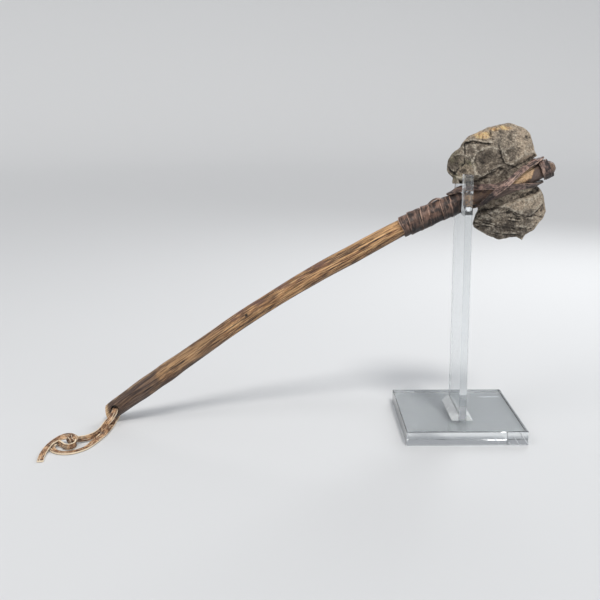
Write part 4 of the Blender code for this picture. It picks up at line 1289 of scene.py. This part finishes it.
def make_haft(finish):
    x = np.append(np.arange(HAFT_AXIS[0][0], TIP_X - HAFT_STEP / 2, HAFT_STEP), TIP_X)
    turn = 2 * np.pi * (np.arange(HAFT_SIDES) + 0.5) / HAFT_SIDES
    x, turn = np.broadcast_arrays(x[:, None], turn[None, :])
    t, y = girth(x, turn, -np.maximum(haft_relief(x, turn), 0.0))
    haft = lofted("wooden_haft", haft_points(x, t, y))
    # The split is a bowed blade, as long as the fork, that reaches past the wood above and below
    fork_x = np.linspace(FORK_START, TIP_X + SPLIT_RUN_OUT, SPLIT_POINTS)
    half = np.maximum(fork_half(fork_x), SPLIT_WIDTH / 2)
    corner_t, corner_side = np.array([(-1.0, -1.0), (-1.0, 1.0), (1.0, 1.0), (1.0, -1.0)]).T
    blade = haft_points(fork_x[:, None], 2 * WIDEST * corner_t, half[:, None] * corner_side)
    cut(haft, lofted("haft_split", blade))
    bore_centre = haft_points(THONG_HOLE_X, THONG_HOLE_RISE, 0.0)
    clear_through = 6 * WIDEST
    bpy.ops.mesh.primitive_cylinder_add(
        vertices=BORE_SIDES,
        radius=THONG_HOLE_DIAMETER / 2,
        depth=clear_through,
        location=bore_centre,
        rotation=(math.pi / 2, 0.0, AXE_YAW),
    )
    cut(haft, bpy.context.object)
    bpy.ops.mesh.primitive_cube_add(size=clear_through)
    saw = bpy.context.object
    face = Vector(yawed([BUTT_X, 0.0, float(axis_height(BUTT_X))]))
    swing = Matrix.Rotation(AXE_YAW, 4, "Z") @ Matrix.Rotation(BUTT_TILT, 4, "Y")
    back_off = Matrix.Translation((-clear_through / 2, 0.0, 0.0))
    saw.matrix_world = Matrix.Translation(face) @ swing @ back_off
    cut(haft, saw)
    note_haft(haft, bore_centre)
    shade(haft, WOOD_CREASE)
    return coat(haft, finish)


def note_haft(haft, bore_centre):
    """Lays the grain along the bent axis, and marks the stained, worn and bored places, and where shade
    and a highlight are painted.
    """
    places, t, foot = haft_places(haft)
    y = places[:, 1]
    turn = np.degrees(np.arctan2(t, -y))
    wander = unevenness(places, *HAFT_WANDER)
    bore = unyawed(bore_centre)
    nail_x, nail_turn, nail_radius = NAIL_HOLE
    measures = {
        "x": foot,
        "strayed x": foot + BUTT_STRAY * wander,
        "grip": foot + GRIP_STRAY * wander - GRIP_LEAN * np.sin(np.radians(turn)),
        "slant": foot - PRONG_SLANT * t,
        "turn": turn,
        "from crest": np.abs(turn - CREST_TURN),
        "prong turn": np.degrees(np.arctan2(t, np.abs(y) - fork_half(foot))),
        "depth": np.abs(y),
        "wander": wander,
        "patches": unevenness(places / PATCH_STRETCH, *HAFT_PATCHES),
        "specks": unevenness(places, *HAFT_SPECKS),
        "from bore": np.hypot(places[:, 0] - bore[0], places[:, 2] - bore[2]),
        "from nail": np.hypot(foot - nail_x, np.radians(turn - nail_turn) * nail_radius),
    }
    marks = {
        name: strength * math.prod(smooth_step(measures[key], *ends) for key, *ends in fades)
        for name, (strength, fades) in HAFT_MARKS.items()
    }
    knots = [knot_nearness(foot, turn, MEAN_RADIUS, knot, *KNOT_STAIN) for knot in HAFT_KNOTS]
    in_fork = marks["fork mouth"] * (1 - marks["past crossing"])
    under = FORK_SHADE * np.maximum(marks["under straps"], marks["over strap"])
    greyed = np.maximum(marks["shaded prong"], marks["grey tip"]) * (TIP_GREY - marks["grey gaps"])
    nail = marks["nail"] * (np.abs(turn) < 90)
    notes = {
        "flow": np.stack([foot, y, t], axis=-1),
        "handled": np.maximum(marks["grip"], marks["faint grip"]),
        "rubbed": np.clip(marks["rubbed"] + FORK_RUBBING * in_fork, 0.0, 1.0),
        "knot": KNOT_DARKNESS * np.max(knots, axis=0),
        "shaded": np.clip(np.maximum(marks["shaded underside"], under), 0.0, 1.0),
        # The worn tint is wear at the butt and on the bared prongs, and a painted highlight along the
        # crown
        "worn": np.clip(np.maximum(marks["butt"], marks["bared"]) + marks["crown"], 0.0, 1.0),
        # Grey on the knob and in the fork, and painted shade on the far side of the bared prong
        "greyed": np.maximum(greyed, FORK_GREY * in_fork),
        # Painted shade in the bore and the nail hole
        "hole": np.maximum(marks["bore"], nail),
    }
    for name, values in notes.items():
        note(haft, name, values)


def stone_arms():
    """Directions and reaches from the stone's centre to its rim, evenly spaced along the rim."""
    corners = np.array(STONE_OUTLINE + STONE_OUTLINE[:1])
    length = lengths_along(corners)
    around = np.linspace(0.0, length[-1], STONE_ARMS, endpoint=False)
    rim_x, rim_z = (np.interp(around, length, corners[:, k]) for k in range(2))
    arms = np.stack([rim_x, rim_z], axis=-1) - np.array(STONE_CENTRE)
    chip = RIM_CHIP * pitted(in_plane(rim_x, rim_z), *RIM_CHIPS)
    return arms * (1 - chip / np.linalg.norm(arms, axis=1))[:, None]


def stone_form(x, z, share, flakes):
    """Half the solid's thickness by the CAD's rule, with wandering edges to its large flakes."""
    crown = (1.0 - share**CROWN_POWER) ** CROWN_ROUNDING
    half = STONE_RIM_HALF + (STONE_HALF - STONE_RIM_HALF) * crown
    for k, (flake_x, flake_z, depth, radius, slope_x, slope_z) in enumerate(flakes):
        seeds = [seed + k for seed in FLAKE_SEEDS]
        wavy_x, wavy_z = wandering(in_plane(x, z), *FLAKE_WANDER, seeds)
        dx, dz = wavy_x - flake_x, wavy_z - flake_z
        bowl = depth + slope_x * dx + slope_z * dz + (dx * dx + dz * dz) / (2 * radius)
        half = np.minimum(half, bowl)
    t, foot = height_over_axis(x, z)
    past = np.maximum(np.abs(t) - haft_radius(foot) - GROOVE_MARGIN, 0.0)
    groove = fork_half(foot) - SEAT_GAP + GROOVE_SLOPE * past
    half = np.where((foot > FORK_START) & (foot < FORK_END), np.minimum(half, groove), half)
    beside = np.maximum(beside_plate(x, z) - LIP_MARGIN, 0.0)
    half = np.minimum(half, NOTCH_WIDTH / 2 - LIP_GAP + beside)
    return np.maximum(half, STONE_RIM_HALF)


def beside_plate(x, z):
    """How far a place is beside the upright's faces or above its top."""
    return np.maximum(np.abs(x) - PLATE_THICKNESS / 2, z - PLATE_TOP)


def crack_lines(x, z, lines, width):
    """How much a place lies in one of the cracks, which wander and come and go along their way."""
    flat = in_plane(x, z)
    wavy = wandering(flat, *LINE_WANDER)
    depth = np.zeros_like(x)
    for line in lines:
        depth = np.maximum(depth, smooth_step(line_distance(*wavy, line)[0], width, 0.0))
    return depth * smooth_step(unevenness(flat, *CRACK_BREAKS), *CRACK_GOES)


def stone_carving(x, z, side, steps, cracks):
    """Depth of flake scars, steps, cracks, bedding lines and grit below the solid's form."""
    flat = in_plane(x, z, SIDE_PLANE * side)
    bent = np.stack([unevenness(flat, *bends) for bends in SCAR_BENDS], axis=-1)
    depth = np.zeros_like(x)
    for k, (size, radius, deepest) in enumerate(SCARS):
        warped = (flat + SCAR_BEND * size * bent) * SCAR_FLATTENING
        hollow = nearest_hollow(warped, size, SCAR_SEED + side + 10 * k, SCAR_UNEVENNESS)
        depth += deepest - np.minimum(hollow * size**2 / (2 * radius), deepest)
    wavy = wandering(flat, *LINE_WANDER)
    for line, drop, fade in steps:
        away, below = line_distance(*wavy, line)
        depth += drop * smooth_step(away, fade, 0.0) * smooth_step(below, 0.0, STEP_RISER)
    depth += CRACK_DEPTH * crack_lines(x, z, cracks, CRACK_WIDTH)
    layers = np.stack([x / BEDDING_STRETCH, x * 0, z + BEDDING_LEAN * x], axis=-1)
    beds = smooth_step(unevenness(layers, *BEDDING), *BEDDING_FADE)
    depth += BEDDING_DEPTH * smooth_step(z, *BEDDING_TOP) * beds
    return depth + pitted(flat, *STONE_GRIT)


def spots(x, z, places):
    """How much a place lies in one of the tinted spots, whose edges are ragged."""
    wavy_x, wavy_z = wandering(in_plane(x, z), *SPOT_WANDER)
    reach = np.zeros_like(x)
    for spot_x, spot_z, half_x, half_z in places:
        away = np.hypot((wavy_x - spot_x) / half_x, (wavy_z - spot_z) / half_z)
        reach = np.maximum(reach, smooth_step(away, *SPOT_FADE))
    return reach


def blurred(rows, passes):
    """Height rows evened out over their neighbours, round the stone and from centre to rim."""
    even = rows
    for _ in range(passes):
        even = (np.roll(even, 1, axis=1) + np.roll(even, -1, axis=1) + even) / 3
        inner = np.vstack([even[:1], even[:-1]])
        outer = np.vstack([even[1:], even[-1:]])
        even = (inner + outer + even) / 3
    return even


def stone_relief(half, share):
    """How far each place of one side stands proud, from -1 to 1, with an evenly worn rim."""
    proud = sum(weight * ((half - blurred(half, n)) / full) for n, full, weight in RELIEF_LAYERS)
    worn = smooth_step(share, *WORN_RIM)
    return (1 - worn) * np.clip(proud, -1, 1) + WORN_RIM_PALENESS * worn


def make_stone(finish):
    arms = stone_arms()
    steps = np.arange(1, STONE_RINGS + 1) / STONE_RINGS
    spaced = RING_EVENNESS * steps + (1 - RING_EVENNESS) * np.sin(0.5 * np.pi * steps)
    share = np.append(FIRST_RING, spaced)[:, None]
    x = STONE_CENTRE[0] + share * arms[None, :, 0]
    z = STONE_CENTRE[1] + share * arms[None, :, 1]
    share = np.broadcast_to(share, x.shape)
    # The rim meanders to the front and back, but not where the stone is held
    t, foot = height_over_axis(x, z)
    by_fork = (foot > FORK_START - CLEAR_OF_FORK) & (foot < FORK_END + CLEAR_OF_FORK)
    clear = np.where(by_fork, smooth_step(np.abs(t), *CLEAR_OF_HAFT), 1.0)
    clear = clear * smooth_step(beside_plate(x, z), *CLEAR_OF_PLATE)
    meander = RIM_MEANDER * unevenness(in_plane(x, z), *MEANDER_BENDS) * share**3 * clear
    thinning = (STONE_HALF - RIM_EDGE_HALF) / (STONE_HALF - STONE_RIM_HALF)
    points, faces, relief, rims = [], [], [], []
    for side, flakes, lines, cracks in (
        (-1, FRONT_FLAKES, FRONT_STEPS, FRONT_CRACKS), (1, BACK_FLAKES, BACK_STEPS, BACK_CRACKS)
    ):
        form = stone_form(x, z, share, flakes)
        carved = stone_carving(x, z, side, lines, cracks) * smooth_step(form, *CARVING_FADE)
        thinned = RIM_EDGE_HALF + (form - STONE_RIM_HALF) * thinning
        half = np.maximum(np.minimum(thinned, form) - carved, RIM_EDGE_HALF)
        rows = yawed(np.stack([x, side * half + meander, z], axis=-1))
        index = len(points) + np.arange(x.size).reshape(x.shape)
        hub = len(points) + x.size
        points += [*rows.reshape(-1, 3).tolist(), rows[0].mean(axis=0).tolist()]
        faces += ring_faces(index)
        faces += [[hub, int(a), int(b)] for a, b in zip(index[0], np.roll(index[0], -1))]
        rims.append(index[-1])
        relief += [*stone_relief(half, share).reshape(-1), 0.0]
    stone = mesh_object("stone_axe_head", points, faces + ring_faces(np.array(rims)))
    face_out(stone)
    note(stone, "relief", relief)
    flat_x = np.append(x.reshape(-1), STONE_CENTRE[0])
    flat_z = np.append(z.reshape(-1), STONE_CENTRE[1])
    for name, places in STONE_TINTS.items():
        front = spots(flat_x, flat_z, places)
        back = spots(BACK_TINT_SHIFT[0] - flat_x, flat_z + BACK_TINT_SHIFT[1], places)
        note(stone, name, np.append(front, back))
    cracks = [crack_lines(flat_x, flat_z, lines, CRACK_STAIN) for lines in (FRONT_CRACKS, BACK_CRACKS)]
    note(stone, "crack", np.concatenate(cracks))
    shade(stone, STONE_CREASE)
    return coat(stone, finish)


def make_collar(growth, finish):
    """The wound strip, with a slack loop pushed up on its top."""
    ends = (COLLAR_START, COLLAR_END)
    collar = wound_strip(
        growth, "wound_collar", *ends, collar_radius, COLLAR_PITCH, COLLAR_WINDING, finish
    )
    slack = []
    for x, lift in SLACK_LOOP:
        slope = float(axis_angle(x))
        place = haft_points(x, float(collar_radius(x)) + lift, SLACK_DEPTH)
        slack.append((place, (-math.sin(slope), SLACK_LEAN, math.cos(slope))))
    loop = strip("slack_loop", slack, *SLACK_STRIP, False, SLACK_STEPS, SLACK_SEED)
    collar = joined("wound_collar", [collar, coat(loop, finish)])
    _, t, foot = haft_places(collar)
    # Painted shade: the collar is darkened on its underside
    note(collar, "grime", smooth_step(-t / collar_radius(foot), *COLLAR_SHADE))
    return collar


def strap_stations(route):
    """The strap's front, then its back as the mirror image, so that it closes into a ring."""
    front = []
    for x, t, out, angle in route:
        y = -(float(fork_half(x)) + out) if out else 0.0
        front.append((x, t, y, math.radians(angle)))
    back = [(x, t, -y, math.pi - turn) for x, t, y, turn in reversed(front[1:-1])]
    stations = []
    for x, t, y, turn in front + back:
        tilt = float(axis_angle(x))
        face = (-math.sin(turn) * math.sin(tilt), -math.cos(turn), math.sin(turn) * math.cos(tilt))
        stations.append((haft_points(x, t, y), yawed(face)))
    return stations


def make_strap(name, route, seed, darkened, shadowed, finish):
    """One strap, darkened all along by a share and with painted shade towards the end of the given span
    of x.
    """
    strap = strip(
        name, strap_stations(route), STRAP_WIDTH, STRAP_THICKNESS, True, STRAP_STEPS, seed,
        STRAP_CUPPING, STRAP_RIPPLE,
    )
    _, _, foot = haft_places(strap)
    # Painted shade towards one end, over a plain darkening all along
    note(strap, "grime", np.maximum(darkened, smooth_step(foot, *shadowed)))
    return coat(strap, finish)


def make_tip_binding(growth, finish):
    """A few turns of a narrow strip drawn tight round the closed end of the fork."""

    def reach(x):
        share = (x - TIP_BINDING_START) / (TIP_BINDING_END - TIP_BINDING_START)
        skin = haft_radius(x) + CONTACT_GAP + TIP_BINDING_THICKNESS - TIP_BINDING_TAPER * share
        return skin - TIP_BINDING_SINK

    ends = (TIP_BINDING_START, TIP_BINDING_END)
    binding = wound_strip(growth, "tip_winding", *ends, reach, TIP_PITCH, TIP_WINDING, finish)
    _, t, _ = haft_places(binding)
    # Painted shade underneath, over a plain darkening all along
    note(binding, "grime", np.maximum(TIP_DARKENED, smooth_step(-t, *TIP_SHADE)))
    return binding


def make_knot():
    """The knot in the thong: a rounded lump with turns carved round it."""
    segments, rings = KNOT_POINTS
    bpy.ops.mesh.primitive_uv_sphere_add(segments=segments, ring_count=rings, radius=1.0)
    knot = bpy.context.object
    ball = vertex_places(knot)
    folds = unevenness(ball, *KNOT_FOLDS)
    bands = np.sin(KNOT_TURNS * (ball[:, 0] + KNOT_SLANT * ball[:, 2]) + KNOT_SWAY * folds)
    scale = 1 - KNOT_FOLD_DEPTH * (1 + folds) - KNOT_TURN_DEPTH * (1 + bands)
    turn = np.array(Matrix.Rotation(KNOT_AXIS_TURN, 3, "Z")).T
    shaped = (ball * scale[:, None] * np.array(KNOT_HALF)) @ turn + np.array(KNOT_CENTRE)
    knot.data.vertices.foreach_set("co", shaped.reshape(-1))
    knot.data.update()
    for layer in list(knot.data.uv_layers):
        knot.data.uv_layers.remove(layer)
    note(knot, "flow", ball * KNOT_RADIUS)
    note(knot, "edge", smooth_step(bands, *KNOT_WORN) * KNOT_WEAR)
    return shade(knot, KNOT_CREASE)


def make_thong(finish):
    size = (THONG_WIDTH, THONG_THICKNESS)
    loop = strip("thong_loop", THONG_LOOP, *size, False, THONG_STEPS, 7)
    tail = strip("thong_tail", THONG_TAIL, *size, False, THONG_STEPS, 8)
    return coat(joined("wrist_thong_strip", [loop, tail, make_knot()]), finish)


# Studio


def make_floor():
    """A pale floor that curves up far away on every side."""
    sweep = [(FLOOR_FLAT + FLOOR_CURVE * math.sin(a), FLOOR_CURVE - FLOOR_CURVE * math.cos(a))
             for a in np.linspace(*FLOOR_SWEEP)]
    rings = np.array([(out, 0.0) for out in FLOOR_RINGS] + sweep)
    angle = 2 * np.pi * np.arange(FLOOR_SIDES) / FLOOR_SIDES
    radius, height = rings[:, :1], np.tile(rings[:, 1:] - FLOOR_GAP, FLOOR_SIDES)
    rows = np.stack([radius * np.cos(angle), radius * np.sin(angle), height], axis=-1)
    floor = lofted("studio_floor", rows, close_ends=False)
    face_out(floor, merge=1e-6)
    floor.data.shade_smooth()
    paper = Finish("pale_paper")
    coat(floor, paper.set(Base_Color=tone(208, 210, 212), Roughness=0.95))


def lamp(name, kind, power, colour, way):
    """A lamp that shines along a given way."""
    light = bpy.data.lights.new(name, kind)
    light.energy = power
    light.color = colour
    holder = linked(name, light)
    holder.rotation_euler = Vector(way).to_track_quat("-Z", "Y").to_euler()
    return holder


def make_lights():
    lamp("high_window", "SUN", SUN_POWER, SUN_COLOUR, SUN_WAY).data.angle = SUN_SPREAD
    for name, (place, target, size, power, colour) in SOFTBOXES.items():
        box = lamp(name, "AREA", power, colour, Vector(target) - Vector(place))
        box.location = place
        box.data.shape = "RECTANGLE"
        box.data.size, box.data.size_y = size
    world = bpy.data.worlds.new("studio_air")
    bpy.context.scene.world = world
    world.use_nodes = True
    air = world.node_tree.nodes["Background"]
    air.inputs["Color"].default_value = AIR_COLOUR
    air.inputs["Strength"].default_value = AIR_STRENGTH


def make_camera():
    lens = bpy.data.cameras.new("studio_camera")
    lens.lens = CAMERA_LENS
    lens.sensor_width = CAMERA_SENSOR
    lens.shift_y = CAMERA_SHIFT
    lens.clip_start = CAMERA_NEAR
    holder = linked("studio_camera", lens)
    holder.location = CAMERA_PLACE
    holder.rotation_euler = (math.pi / 2 + CAMERA_PITCH, 0.0, -CAMERA_PAN)
    bpy.context.scene.camera = holder


def carry(piece, slot, *nodes):
    """Sets a finished piece on the one body, in place of its CAD nodes."""
    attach(piece, "root")
    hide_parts(*nodes)


def main():
    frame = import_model()
    make_camera()
    make_lights()
    make_floor()
    bpy.context.scene.view_settings.view_transform = "Standard"
    hides = {name: hide_finish(name, *looks) for name, looks in HIDES.items()}
    acrylics = {name: clear_acrylic_finish(name, *looks) for name, looks in ACRYLICS.items()}
    carry(make_haft(haft_wood_finish()), "haft_wood", "haft")
    carry(make_stone(chipped_stone_finish()), "stone", "stone_head")
    winding = winding_growth()
    carry(make_collar(winding, hides["collar_hide"]), "dark_hide", "collar_binding")
    rising = make_strap("rising_strap", RISING_STRAP, 1, *RISING_SHADE, hides["dark_hide"])
    carry(rising, "dark_hide", "strap_rising")
    falling = make_strap("falling_strap", FALLING_STRAP, 2, *FALLING_SHADE, hides["dark_hide"])
    carry(falling, "dark_hide", "strap_falling")
    carry(make_tip_binding(winding, hides["dark_hide"]), "dark_hide", "tip_binding")
    carry(make_thong(hides["thong_leather"]), "thong_leather", "wrist_thong")
    for node, name in ACRYLIC_NODES.items():
        for used in frame["nodes"][node].material_slots:
            used.material = acrylics[name]


main()
